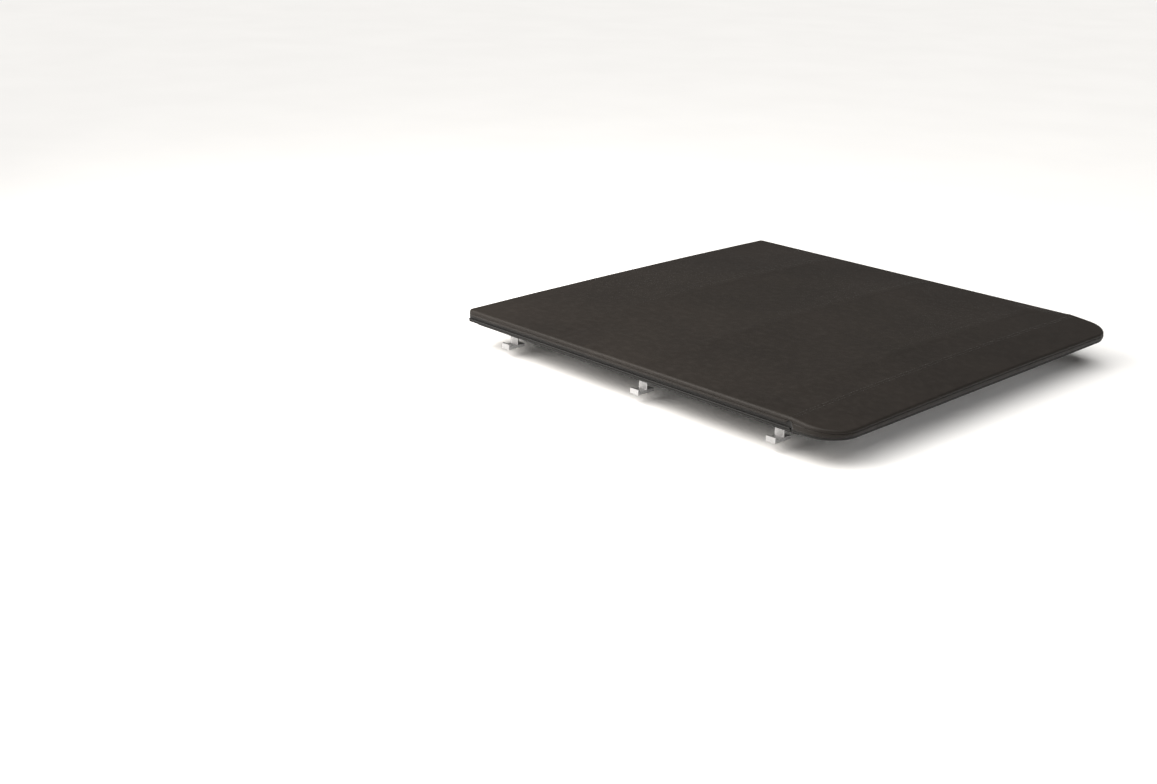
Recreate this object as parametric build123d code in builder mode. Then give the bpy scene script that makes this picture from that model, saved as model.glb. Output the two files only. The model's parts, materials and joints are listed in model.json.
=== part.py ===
from build123d import *
from math import sqrt, cos, sin, pi
import os

# Soft roll-up tonneau cover for a dual-cab pickup bed, in millimetres.
# X is the truck's right, Y its front, Z up. Z = 0 is the top of the truck's bed rim,
# and the origin is the middle of the cover.

# ---- overall size ----------------------------------------------------------------
HALF_WIDTH = 803.0        # outer face of the side hems
FRONT = 802.0             # front edge, against the cab
REAR = -802.0             # rear edge, over the tailgate
EDGE_TOP = 46.0           # top of the sheet at its side edges
SHOULDER = 10.0           # outer radius where the sheet turns down into its hem
SHEET = 2.0               # vinyl with its hem and backing
HEM_BOTTOM = 24.0         # lower edge of the side hems
FLAT_EDGE = HALF_WIDTH - SHOULDER
SEAT = 0.3                # rest clearance between pieces that only lie on each other

# ---- fold lines, from the cab rearwards -------------------------------------------
# The cover rolls up as a square spiral round its tail bar. Each turn is one layer
# thicker than the last, so the flats and the walls both grow by one pitch.
CREASE = -642.0           # fold line between the sheet and the tail bar
PITCH = 25.0              # one rolled layer with its clearance
FLAT_1 = 162.0            # innermost flat, just longer than the tail bar
WALL_1 = 52.0             # innermost wall, just taller than the tail bar
TURNS = 4
panel_lengths = []
for turn in range(TURNS):
    panel_lengths += [FLAT_1 + turn * PITCH, WALL_1 + turn * PITCH]
panel_lengths.reverse()
fold_lines = [CREASE + sum(panel_lengths)]
for length in panel_lengths:
    fold_lines.append(fold_lines[-1] - length)
FOLD_GAP = 0.5            # half the slit between neighbouring panels

# ---- crown of the sheet -----------------------------------------------------------
CROWN_HEADER = 5.0
CROWN_BOWS = 20.0
CROWN_CREASE = 11.0
CROWN_TAIL = 6.0
TAIL_EDGE_TOP = 30.0      # top of the tail at its rear edge
TAIL_BOTTOM = 10.0        # lower edge of the tail's skirt
TAIL_CORNER = 110.0       # plan radius of the rear corners

# ---- side rails and header --------------------------------------------------------
RAIL_FRONT = 798.0
RAIL_REAR = -640.0
RAIL_TOP = 41.5
RAIL_BASE = 10.0
RAIL_WALL = 3.0
RAIL_OUTER = 797.0
RAIL_LIP = 804.0
LIP_INNER = 775.0
RAIL_ROUND = 2.5
RAIL_INNER = 756.0
WEB_BOTTOM = -20.0
SHELF_INNER = 740.0
SHELF_BOTTOM = 22.0
HEADER_REAR = 770.0
HEADER_BOTTOM = 8.0
HEADER_HALF = 739.0

# ---- bows -------------------------------------------------------------------------
bow_places = {"front_bow": 408.0, "middle_bow": -32.0, "rear_bow": -505.0}
BOW_WIDTH = 36.0
BOW_DEPTH = 18.0
BOW_WALL = 2.0
BOW_HALF = 748.0
BOW_EDGE = 4.0

# ---- clamps -----------------------------------------------------------------------
clamp_places = {"front": 620.0, "middle": 0.0, "rear": -560.0}
CLAMP_WIDTH = 40.0
BOLT_X = 730.0
BOLT_RADIUS = 4.0
BOLT_HOLE = 4.3
JAW_FOOT_TOP = -50.0
JAW_FOOT_BOTTOM = -60.0
LUG_BOTTOM = -12.0
LUG_TOP = -2.0

# ---- tail latches -----------------------------------------------------------------
LATCH_Y = -677.0
LATCH_WIDTH = 10.0
LATCH_LOW = 8.0
LATCH_HIGH = 16.0
LATCH_TIP = 726.0
LATCH_BACK = 606.0
LATCH_TRAVEL = 26.0
LATCH_PLAY = 0.5

SCREW_RADIUS = 2.4
SCREW_HOLE = 2.6
REARWARDS = (0, -1, 0)
sides = {"left": -1, "right": 1}
os.makedirs("parts", exist_ok=True)


def save(piece, name):
    """Labels a finished piece and writes it as its own node."""
    piece.part.label = name
    export_step(piece.part, f"parts/{name}.step")


def across(y):
    """The plane across the truck at y: local X right, local Y up, normal rearwards."""
    return Plane(origin=(0, y, 0), x_dir=(1, 0, 0), z_dir=(0, -1, 0))


def along(x):
    """The plane along the truck at x: local X forwards, local Y up, normal to the right."""
    return Plane(origin=(x, 0, 0), x_dir=(0, 1, 0), z_dir=(1, 0, 0))


def crown_at(y):
    """Rise of the sheet's middle above its edges at y."""
    if y >= fold_lines[0]:
        share = (FRONT - y) / (FRONT - fold_lines[0])
        return CROWN_HEADER + share * (CROWN_BOWS - CROWN_HEADER)
    if y >= fold_lines[-2]:
        return CROWN_BOWS
    if y >= CREASE:
        share = (fold_lines[-2] - y) / (fold_lines[-2] - CREASE)
        return CROWN_BOWS + share * (CROWN_CREASE - CROWN_BOWS)
    share = (CREASE - y) / (CREASE - REAR)
    return CROWN_CREASE + share * (CROWN_TAIL - CROWN_CREASE)


def edge_at(y):
    """Height of the sheet's top at its side edges at y."""
    if y >= CREASE:
        return EDGE_TOP
    share = (CREASE - y) / (CREASE - REAR)
    return EDGE_TOP + share * (TAIL_EDGE_TOP - EDGE_TOP)


def rise(x, half, crown):
    """Height of a shallow arc with the given half chord and crown above its chord at x."""
    radius = (half**2 + crown**2) / (2 * crown)
    return sqrt(radius**2 - x**2) - (radius - crown)


def crowned_line(y, drop, bottom):
    """Draws down one side, over the crown and down the other, drop below the sheet's top."""
    top = edge_at(y) - drop
    turn = SHOULDER - drop
    half = FLAT_EDGE + turn
    middle = (FLAT_EDGE + turn * cos(pi / 4), top - turn + turn * sin(pi / 4))
    Line((half, bottom), (half, top - turn))
    ThreePointArc((half, top - turn), middle, (FLAT_EDGE, top))
    ThreePointArc((FLAT_EDGE, top), (0, top + crown_at(y)), (-FLAT_EDGE, top))
    ThreePointArc((-FLAT_EDGE, top), (-middle[0], middle[1]), (-half, top - turn))
    Line((-half, top - turn), (-half, bottom))


def hollow_section(y, bottom):
    """The sheet's own section at y, SHEET thick, with its two hems."""
    with BuildSketch(across(y)) as section:
        with BuildLine():
            crowned_line(y, 0, bottom)
            crowned_line(y, SHEET, bottom)
            inner = FLAT_EDGE + SHOULDER - SHEET
            Line((HALF_WIDTH, bottom), (inner, bottom))
            Line((-HALF_WIDTH, bottom), (-inner, bottom))
        make_face()
    return section.sketch


def filled_section(y, drop, bottom):
    """Everything between bottom and a surface drop below the sheet's top at y."""
    with BuildSketch(across(y)) as section:
        with BuildLine():
            crowned_line(y, drop, bottom)
            half = FLAT_EDGE + SHOULDER - drop
            Line((-half, bottom), (half, bottom))
        make_face()
    return section.sketch


def tail_plan(inset, front):
    """Plan outline of the tail, inset from its skirt, with its two round corners."""
    half = HALF_WIDTH - inset
    rear = REAR + inset
    corner = TAIL_CORNER - inset
    bend = corner * (1 - cos(pi / 4))
    with BuildSketch(Plane.XY) as outline:
        with BuildLine():
            Line((half, front), (half, rear + corner))
            ThreePointArc(
                (half, rear + corner), (half - bend, rear + bend), (half - corner, rear)
            )
            Line((half - corner, rear), (corner - half, rear))
            ThreePointArc(
                (corner - half, rear), (bend - half, rear + bend), (-half, rear + corner)
            )
            Line((-half, rear + corner), (-half, front))
            Line((-half, front), (half, front))
        make_face()
    return outline.sketch


def tail_form(inset, front, bottom):
    """The solid wedge inside the tail, inset from its skin, from bottom upwards."""
    with BuildPart() as form:
        ends = [filled_section(y, inset, bottom) for y in (front, REAR)]
        loft(ends, ruled=True)
        extrude(tail_plan(inset, front), amount=EDGE_TOP * 2, mode=Mode.INTERSECT)
    return form.part


def screw(start, direction, length, head=5.0, head_height=3.0):
    """A pan-head screw whose head's underside is at start and whose shank runs on."""
    seat = Plane(origin=start, z_dir=direction)
    with BuildPart() as one:
        with BuildSketch(seat):
            Circle(SCREW_RADIUS)
        extrude(amount=length)
        with BuildSketch(seat):
            Circle(head)
        extrude(amount=-head_height)
        crown = one.faces().sort_by(Axis(start, direction))[0]
        fillet(crown.edges(), radius=head_height / 2)
    return one.part


# ---- sheet: fixed front section ---------------------------------------------------
FRONT_CHAMFER = 20.0      # along the side; half as far along the front
with BuildPart() as sheet_front:
    ends = [hollow_section(y, HEM_BOTTOM) for y in (FRONT, fold_lines[0] + FOLD_GAP)]
    loft(ends, ruled=True)
    extrude(filled_section(FRONT, 0, HEM_BOTTOM), amount=SHEET, dir=REARWARDS)
    for side in sides.values():
        with BuildSketch(Plane.XY):
            corner = side * HALF_WIDTH
            with BuildLine():
                Polyline(
                    (corner, FRONT),
                    (corner - side * FRONT_CHAMFER / 2, FRONT),
                    (corner, FRONT - FRONT_CHAMFER),
                    close=True,
                )
            make_face()
        extrude(amount=EDGE_TOP * 2, mode=Mode.SUBTRACT)
save(sheet_front, "sheet_front")

# ---- sheet: the panels that roll up ----------------------------------------------
for number, length in enumerate(panel_lengths, start=1):
    front_edge = fold_lines[number - 1] - FOLD_GAP
    rear_edge = fold_lines[number] + FOLD_GAP
    with BuildPart() as panel:
        if crown_at(front_edge) == crown_at(rear_edge):
            section = hollow_section(front_edge, HEM_BOTTOM)
            extrude(section, amount=front_edge - rear_edge, dir=REARWARDS)
        else:
            ends = [hollow_section(y, HEM_BOTTOM) for y in (front_edge, rear_edge)]
            loft(ends, ruled=True)
    save(panel, f"sheet_panel_{number}")

# ---- sheet: the skirted tail over the bar ----------------------------------------
TAIL_FRONT = CREASE - FOLD_GAP
tail_skin = tail_form(0, TAIL_FRONT, TAIL_BOTTOM)
tail_inside = tail_form(SHEET, TAIL_FRONT + 1, TAIL_BOTTOM - 1)
with BuildPart() as sheet_tail:
    add(tail_skin)
    add(tail_inside, mode=Mode.SUBTRACT)
save(sheet_tail, "sheet_tail")

# ---- tail bar: an aluminium channel, open below, with ribs and latch pads ----------
BAR_HALF = 681.0
BAR_WALL = 3.0
BAR_INSET = SHEET + 0.5
BAR_FRONT = CREASE - 3.0
RIB_PITCH = 250.0
RIBS = 5
RIB_BOTTOM = 22.0
PAD_BOTTOM = 34.0
SCREW_TOP = 41.0
HOUSING_BACK = 600.0
HOUSING_TIP = 676.0
HOUSING_WIDTH = 28.0
LATCH_SCREW_MARGIN = 8.0
LATCH_SCREW_OFFSET = 9.5
latch_screws_at = [
    (HOUSING_BACK + LATCH_SCREW_MARGIN, LATCH_Y - LATCH_SCREW_OFFSET),
    (HOUSING_TIP - LATCH_SCREW_MARGIN, LATCH_Y + LATCH_SCREW_OFFSET),
]
bar_skin = tail_form(BAR_INSET, BAR_FRONT, TAIL_BOTTOM)
bar_inside = tail_form(BAR_INSET + BAR_WALL, BAR_FRONT - BAR_WALL, TAIL_BOTTOM - 1)
bar_core = tail_form(BAR_INSET + BAR_WALL - 1, BAR_FRONT - BAR_WALL + 1, TAIL_BOTTOM)
with BuildPart() as ribs:
    with BuildSketch(Plane.XY.offset(RIB_BOTTOM)):
        with GridLocations(RIB_PITCH, 0, RIBS, 1):
            Rectangle(BAR_WALL, 2 * HALF_WIDTH)
    extrude(amount=EDGE_TOP * 2)
    add(bar_core, mode=Mode.INTERSECT)
pad_middle = (HOUSING_BACK + HOUSING_TIP) / 2
with BuildPart() as pads:
    with BuildSketch(Plane.XY.offset(PAD_BOTTOM)):
        with Locations((pad_middle, LATCH_Y), (-pad_middle, LATCH_Y)):
            Rectangle(HOUSING_TIP - HOUSING_BACK, HOUSING_WIDTH)
    extrude(amount=EDGE_TOP)
    add(bar_core, mode=Mode.INTERSECT)
with BuildPart() as rear_bar:
    add(bar_skin)
    add(bar_inside, mode=Mode.SUBTRACT)
    add(ribs.part)
    add(pads.part)
    with BuildSketch(Plane.XY):
        Rectangle(2 * BAR_HALF, 2 * HALF_WIDTH)
    extrude(amount=EDGE_TOP * 2, mode=Mode.INTERSECT)
    with BuildSketch(Plane.XY.offset(PAD_BOTTOM)):
        for side in sides.values():
            with Locations([(side * x, y) for x, y in latch_screws_at]):
                Circle(SCREW_HOLE)
    extrude(amount=SCREW_TOP - PAD_BOTTOM, mode=Mode.SUBTRACT)
save(rear_bar, "rear_bar")

# ---- rear corner mouldings ---------------------------------------------------------
MOULDING_GAP = 2.5
MOULDING_INNER = BAR_HALF + MOULDING_GAP
moulding_skin = tail_form(BAR_INSET, BAR_FRONT, TAIL_BOTTOM)
moulding_inside = tail_form(BAR_INSET + BAR_WALL, BAR_FRONT + 1, TAIL_BOTTOM - 1)
for name, side in sides.items():
    with BuildPart() as moulding:
        add(moulding_skin)
        add(moulding_inside, mode=Mode.SUBTRACT)
        with BuildSketch(Plane.XY):
            with Locations((side * (MOULDING_INNER + HALF_WIDTH) / 2, 0)):
                Rectangle(HALF_WIDTH - MOULDING_INNER, 2 * HALF_WIDTH)
        extrude(amount=EDGE_TOP * 2, mode=Mode.INTERSECT)
    save(moulding, f"{name}_corner_moulding")

# ---- tail seal: a horseshoe under the bar and the corners -------------------------
SEAL_TAIL_BOTTOM = 1.0
SEAL_WIDTH = 14.0
SEAL_TAIL_ROUND = 3.0
seal_outer = tail_plan(BAR_INSET, BAR_FRONT)
seal_inner = tail_plan(BAR_INSET + SEAL_WIDTH, BAR_FRONT + 1)
with BuildPart() as tail_seal:
    with BuildSketch(Plane.XY.offset(SEAL_TAIL_BOTTOM)):
        add(seal_outer)
        add(seal_inner, mode=Mode.SUBTRACT)
    extrude(amount=TAIL_BOTTOM - SEAL_TAIL_BOTTOM)
    foot = tail_seal.faces().sort_by(Axis.Z)[0]
    fillet(foot.edges(), radius=SEAL_TAIL_ROUND)
save(tail_seal, "tail_seal")

# ---- side rails --------------------------------------------------------------------
bracket_screws_y = (712.0, 748.0)
BRACKET_SCREW_Z = 17.0
CLAMP_SCREW_OFFSET = 12.0
CLAMP_SCREW_Z = 11.0
rail_screws_at = [(y, BRACKET_SCREW_Z) for y in bracket_screws_y]
for y in clamp_places.values():
    rail_screws_at.append((y - CLAMP_SCREW_OFFSET, CLAMP_SCREW_Z))
    rail_screws_at.append((y + CLAMP_SCREW_OFFSET, CLAMP_SCREW_Z))
web_outer = RAIL_INNER + RAIL_WALL
rail_profile = [
    (RAIL_LIP, RAIL_BASE),
    (RAIL_LIP, RAIL_BASE + RAIL_WALL),
    (RAIL_OUTER, RAIL_BASE + RAIL_WALL),
    (RAIL_OUTER, RAIL_TOP),
    (RAIL_INNER, RAIL_TOP),
    (RAIL_INNER, SHELF_BOTTOM + RAIL_WALL),
    (SHELF_INNER, SHELF_BOTTOM + RAIL_WALL),
    (SHELF_INNER, SHELF_BOTTOM),
    (RAIL_INNER, SHELF_BOTTOM),
    (RAIL_INNER, WEB_BOTTOM),
    (web_outer, WEB_BOTTOM),
    (web_outer, RAIL_TOP - RAIL_WALL),
    (RAIL_OUTER - RAIL_WALL, RAIL_TOP - RAIL_WALL),
    (RAIL_OUTER - RAIL_WALL, RAIL_BASE + RAIL_WALL),
    (LIP_INNER, RAIL_BASE + RAIL_WALL),
    (LIP_INNER, RAIL_BASE),
]
for name, side in sides.items():
    with BuildPart() as rail:
        with BuildSketch(across(RAIL_FRONT)):
            with BuildLine():
                Polyline([(side * x, z) for x, z in rail_profile], close=True)
            make_face()
        extrude(amount=RAIL_FRONT - RAIL_REAR)
        outer = rail.edges().filter_by(Axis.Y).filter_by_position(
            Axis.Z, RAIL_TOP - 0.1, RAIL_TOP + 0.1
        )
        fillet(outer.sort_by(Axis.X)[-1 if side > 0 else 0], radius=RAIL_ROUND)
        with BuildSketch(along(side * (RAIL_INNER - 1))):
            with Locations(rail_screws_at):
                Circle(SCREW_HOLE)
        extrude(amount=side * (RAIL_WALL + 2), mode=Mode.SUBTRACT)
    save(rail, f"{name}_side_rail")

# ---- rail seals and hook strips ----------------------------------------------------
SEAL_INNER = 778.0
SEAL_OUTER = 800.0
STRIP_INNER = 762.0
STRIP_OUTER = 790.0
STRIP_THICK = 1.8
STRIP_MARGIN = 2.0
RAIL_SEAL_ROUND = 4.0
for name, side in sides.items():
    with BuildPart() as seal:
        with BuildSketch(across(RAIL_FRONT)):
            with Locations((side * (SEAL_INNER + SEAL_OUTER) / 2, RAIL_BASE / 2)):
                Rectangle(SEAL_OUTER - SEAL_INNER, RAIL_BASE)
        extrude(amount=RAIL_FRONT - RAIL_REAR)
        low = seal.edges().filter_by(Axis.Y).group_by(Axis.Z)[0]
        fillet(low, radius=RAIL_SEAL_ROUND)
    save(seal, f"{name}_rail_seal")
    with BuildPart() as strip:
        with BuildSketch(Plane.XY.offset(RAIL_TOP)):
            middle = (RAIL_FRONT + RAIL_REAR) / 2
            with Locations((side * (STRIP_INNER + STRIP_OUTER) / 2, middle)):
                strip_length = RAIL_FRONT - RAIL_REAR - 2 * STRIP_MARGIN
                Rectangle(STRIP_OUTER - STRIP_INNER, strip_length)
        extrude(amount=STRIP_THICK)
    save(strip, f"{name}_hook_strip")

# ---- rail end caps, with the catches for the tail latches --------------------------
CAP_PLATE = 2.0
CAP_PLUG = 15.0
PLUG_Z = 26.0
PLUG_HEIGHT = 24.0
PLUG_WALL = 2.5
CATCH_REAR = -700.0
CATCH_BOTTOM = 18.0
CATCH_TOP = 24.0
CATCH_WIDTH = 16.0
for name, side in sides.items():
    with BuildPart() as cap:
        with BuildSketch(across(RAIL_REAR)):
            cap_width = RAIL_OUTER - SHELF_INNER
            cap_height = RAIL_TOP - RAIL_BASE - RAIL_WALL
            with Locations((side * (SHELF_INNER + cap_width / 2), RAIL_TOP - cap_height / 2)):
                Rectangle(cap_width, cap_height)
        extrude(amount=CAP_PLATE)
        with BuildSketch(across(RAIL_REAR)):
            plug_middle = (web_outer + RAIL_OUTER - RAIL_WALL) / 2
            plug_width = RAIL_OUTER - RAIL_WALL - web_outer - 1
            with Locations((side * plug_middle, PLUG_Z)):
                Rectangle(plug_width, PLUG_HEIGHT)
                Rectangle(
                    plug_width - 2 * PLUG_WALL,
                    PLUG_HEIGHT - 2 * PLUG_WALL,
                    mode=Mode.SUBTRACT,
                )
        extrude(amount=-CAP_PLUG)
        with BuildSketch(across(RAIL_REAR)):
            catch_middle = SHELF_INNER + CATCH_WIDTH / 2
            with Locations((side * catch_middle, (CATCH_BOTTOM + CATCH_TOP) / 2)):
                Rectangle(CATCH_WIDTH, CATCH_TOP - CATCH_BOTTOM)
        extrude(amount=RAIL_REAR - CATCH_REAR)
    save(cap, f"{name}_rail_end_cap")

# ---- header rail and its seal -------------------------------------------------------
HEADER_WALL = 2.5
HEADER_EDGE = 44.0
HEADER_MIDDLE = 48.5
HEADER_SCREW_Z = 28.0
header_screws_at = [(705.0, HEADER_SCREW_Z), (732.0, HEADER_SCREW_Z)]
HEADER_SEAL_MARGIN = 2.0
HEADER_SEAL_ROUND = 3.5
with BuildPart() as header_rail:
    for start, drop, depth in (
        (RAIL_FRONT, 0, RAIL_FRONT - HEADER_REAR),
        (RAIL_FRONT - HEADER_WALL, HEADER_WALL, RAIL_FRONT - HEADER_REAR - 2 * HEADER_WALL),
    ):
        with BuildSketch(across(start)):
            with BuildLine():
                ThreePointArc(
                    (HEADER_HALF, HEADER_EDGE - drop),
                    (0, HEADER_MIDDLE - drop),
                    (-HEADER_HALF, HEADER_EDGE - drop),
                )
                Polyline(
                    (-HEADER_HALF, HEADER_EDGE - drop),
                    (-HEADER_HALF, HEADER_BOTTOM + drop),
                    (HEADER_HALF, HEADER_BOTTOM + drop),
                    (HEADER_HALF, HEADER_EDGE - drop),
                )
            make_face()
        extrude(amount=depth, mode=Mode.SUBTRACT if drop else Mode.ADD)
    with BuildSketch(across(HEADER_REAR - 1)):
        for side in sides.values():
            with Locations([(side * x, z) for x, z in header_screws_at]):
                Circle(SCREW_HOLE)
    extrude(amount=-HEADER_WALL - 2, mode=Mode.SUBTRACT)
save(header_rail, "header_rail")

with BuildPart() as header_seal:
    with BuildSketch(across(RAIL_FRONT - HEADER_SEAL_MARGIN)):
        with Locations((0, HEADER_BOTTOM / 2)):
            Rectangle(2 * HEADER_HALF, HEADER_BOTTOM)
    extrude(amount=RAIL_FRONT - HEADER_REAR - 2 * HEADER_SEAL_MARGIN)
    low = header_seal.edges().filter_by(Axis.X).group_by(Axis.Z)[0]
    fillet(low, radius=HEADER_SEAL_ROUND)
save(header_seal, "header_seal")

# ---- corner brackets between header and rails --------------------------------------
BRACKET_PLATE = 4.0
BRACKET_REACH = 64.0
BRACKET_BOTTOM = 8.0
HEADER_FLANGE_TOP = 36.0
HEADER_FLANGE_WIDTH = 46.0
HEADER_FLANGE_X = RAIL_INNER - 40.0
BRACKET_RIM = 12.0
BRACKET_LENGTH = BRACKET_REACH + 6.0
for name, side in sides.items():
    corner = side * RAIL_INNER
    inner = side * (RAIL_INNER - BRACKET_REACH)
    with BuildPart() as bracket:
        with BuildSketch(Plane.XY.offset(BRACKET_BOTTOM)):
            with BuildLine():
                Polyline(
                    (corner, HEADER_REAR),
                    (inner, HEADER_REAR),
                    (inner, HEADER_REAR - BRACKET_RIM),
                    (corner - side * BRACKET_RIM, HEADER_REAR - BRACKET_LENGTH),
                    (corner, HEADER_REAR - BRACKET_LENGTH),
                    close=True,
                )
            make_face()
        extrude(amount=BRACKET_PLATE)
        with BuildSketch(Plane.XY.offset(BRACKET_BOTTOM)):
            plate_middle = HEADER_REAR - BRACKET_LENGTH / 2
            with Locations((corner - side * BRACKET_PLATE / 2, plate_middle)):
                Rectangle(BRACKET_PLATE, BRACKET_LENGTH)
        extrude(amount=SHELF_BOTTOM - BRACKET_BOTTOM)
        with BuildSketch(Plane.XY.offset(BRACKET_BOTTOM)):
            with Locations((side * HEADER_FLANGE_X, HEADER_REAR - BRACKET_PLATE / 2)):
                Rectangle(HEADER_FLANGE_WIDTH, BRACKET_PLATE)
        extrude(amount=HEADER_FLANGE_TOP - BRACKET_BOTTOM)
        with BuildSketch(across(HEADER_REAR + 1)):
            with Locations([(side * x, z) for x, z in header_screws_at]):
                Circle(SCREW_HOLE)
        extrude(amount=BRACKET_PLATE + 2, mode=Mode.SUBTRACT)
        with BuildSketch(along(corner + side)):
            with Locations(rail_screws_at[:2]):
                Circle(SCREW_HOLE)
        extrude(amount=-side * (BRACKET_PLATE + 2), mode=Mode.SUBTRACT)
    save(bracket, f"{name}_corner_bracket")

# ---- clamp brackets -----------------------------------------------------------------
BRACKET_THICK = 6.0
LUG_INNER = 714.0
LUG_SLOPE = 6.0           # leg of the sloped web between lug and plate
BRACKET_TOP = 20.0
for name, side in sides.items():
    profile = [
        (RAIL_INNER, BRACKET_TOP),
        (RAIL_INNER - BRACKET_THICK, BRACKET_TOP),
        (RAIL_INNER - BRACKET_THICK, LUG_TOP + LUG_SLOPE),
        (RAIL_INNER - BRACKET_THICK - LUG_SLOPE, LUG_TOP),
        (LUG_INNER, LUG_TOP),
        (LUG_INNER, LUG_BOTTOM),
        (RAIL_INNER, LUG_BOTTOM),
    ]
    with BuildPart() as brackets:
        for y in clamp_places.values():
            with BuildSketch(across(y + CLAMP_WIDTH / 2)):
                with BuildLine():
                    Polyline([(side * x, z) for x, z in profile], close=True)
                make_face()
            extrude(amount=CLAMP_WIDTH)
        with BuildSketch(Plane.XY.offset(LUG_BOTTOM - 1)):
            with Locations([(side * BOLT_X, y) for y in clamp_places.values()]):
                Circle(BOLT_HOLE)
        extrude(amount=LUG_TOP - LUG_BOTTOM + 2, mode=Mode.SUBTRACT)
        with BuildSketch(along(side * (RAIL_INNER + 1))):
            with Locations(rail_screws_at[2:]):
                Circle(SCREW_HOLE)
        extrude(amount=-side * (BRACKET_THICK + 2), mode=Mode.SUBTRACT)
    save(brackets, f"{name}_clamp_brackets")

# ---- clamp jaws and bolts -----------------------------------------------------------
JAW_WIDTH = 36.0
JAW_OUTER = 786.0
JAW_TIP = 8.0
JAW_CHAMFER = 2.0
UPRIGHT_INNER = 742.0
UPRIGHT_OUTER = 748.0
UPRIGHT_TOP = -26.0
BOLT_TOP = 12.0
WASHER_RADIUS = 9.0
WASHER_THICK = 3.0
HEAD_RADIUS = 7.5
HEAD_HEIGHT = 7.0
THREAD_CHAMFER = 1.0
HEAD_CHAMFER = 0.8
jaw_profile = [
    (LUG_INNER, JAW_FOOT_BOTTOM),
    (JAW_OUTER, JAW_FOOT_BOTTOM),
    (JAW_OUTER, JAW_FOOT_TOP + JAW_TIP),
    (JAW_OUTER - JAW_TIP, JAW_FOOT_TOP + JAW_TIP),
    (JAW_OUTER - JAW_TIP, JAW_FOOT_TOP),
    (UPRIGHT_OUTER, JAW_FOOT_TOP),
    (UPRIGHT_OUTER, UPRIGHT_TOP),
    (UPRIGHT_INNER, UPRIGHT_TOP),
    (UPRIGHT_INNER, JAW_FOOT_TOP),
    (LUG_INNER, JAW_FOOT_TOP),
]
for name, side in sides.items():
    for place, y in clamp_places.items():
        with BuildPart() as jaw:
            with BuildSketch(across(y + JAW_WIDTH / 2)):
                with BuildLine():
                    Polyline([(side * x, z) for x, z in jaw_profile], close=True)
                make_face()
            extrude(amount=JAW_WIDTH)
            chamfer(jaw.edges().filter_by(Axis.Z).group_by(Axis.Z)[-1], length=JAW_CHAMFER)
            with BuildSketch(Plane.XY.offset(JAW_FOOT_BOTTOM - 1)):
                with Locations((side * BOLT_X, y)):
                    Circle(BOLT_HOLE)
            extrude(amount=JAW_FOOT_TOP - JAW_FOOT_BOTTOM + 2, mode=Mode.SUBTRACT)
        save(jaw, f"{name}_{place}_clamp_jaw")
        seat = Plane(origin=(side * BOLT_X, y, JAW_FOOT_BOTTOM))
        with BuildPart() as bolt:
            with BuildSketch(seat):
                Circle(BOLT_RADIUS)
            extrude(amount=BOLT_TOP - JAW_FOOT_BOTTOM)
            chamfer(bolt.faces().sort_by(Axis.Z)[-1].edges(), length=THREAD_CHAMFER)
            with BuildSketch(seat):
                Circle(WASHER_RADIUS)
            extrude(amount=-WASHER_THICK)
            with BuildSketch(seat.offset(-WASHER_THICK)):
                RegularPolygon(HEAD_RADIUS, 6)
            extrude(amount=-HEAD_HEIGHT)
            chamfer(bolt.faces().sort_by(Axis.Z)[0].edges(), length=HEAD_CHAMFER)
        save(bolt, f"{name}_{place}_clamp_bolt")

# ---- screws of the rails and the header ---------------------------------------------
rail_screw_parts = []
header_screw_parts = []
for side in sides.values():
    for number, (y, z) in enumerate(rail_screws_at):
        plate = BRACKET_PLATE if number < 2 else BRACKET_THICK
        start = (side * (RAIL_INNER - plate), y, z)
        rail_screw_parts.append(screw(start, (side, 0, 0), plate + RAIL_WALL + 2))
    for x, z in header_screws_at:
        start = (side * x, HEADER_REAR - BRACKET_PLATE, z)
        header_screw_parts.append(screw(start, (0, 1, 0), BRACKET_PLATE + HEADER_WALL + 2))
for name, pieces in (("rail_screws", rail_screw_parts), ("header_screws", header_screw_parts)):
    with BuildPart() as group:
        for piece in pieces:
            add(piece)
    save(group, name)

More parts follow.
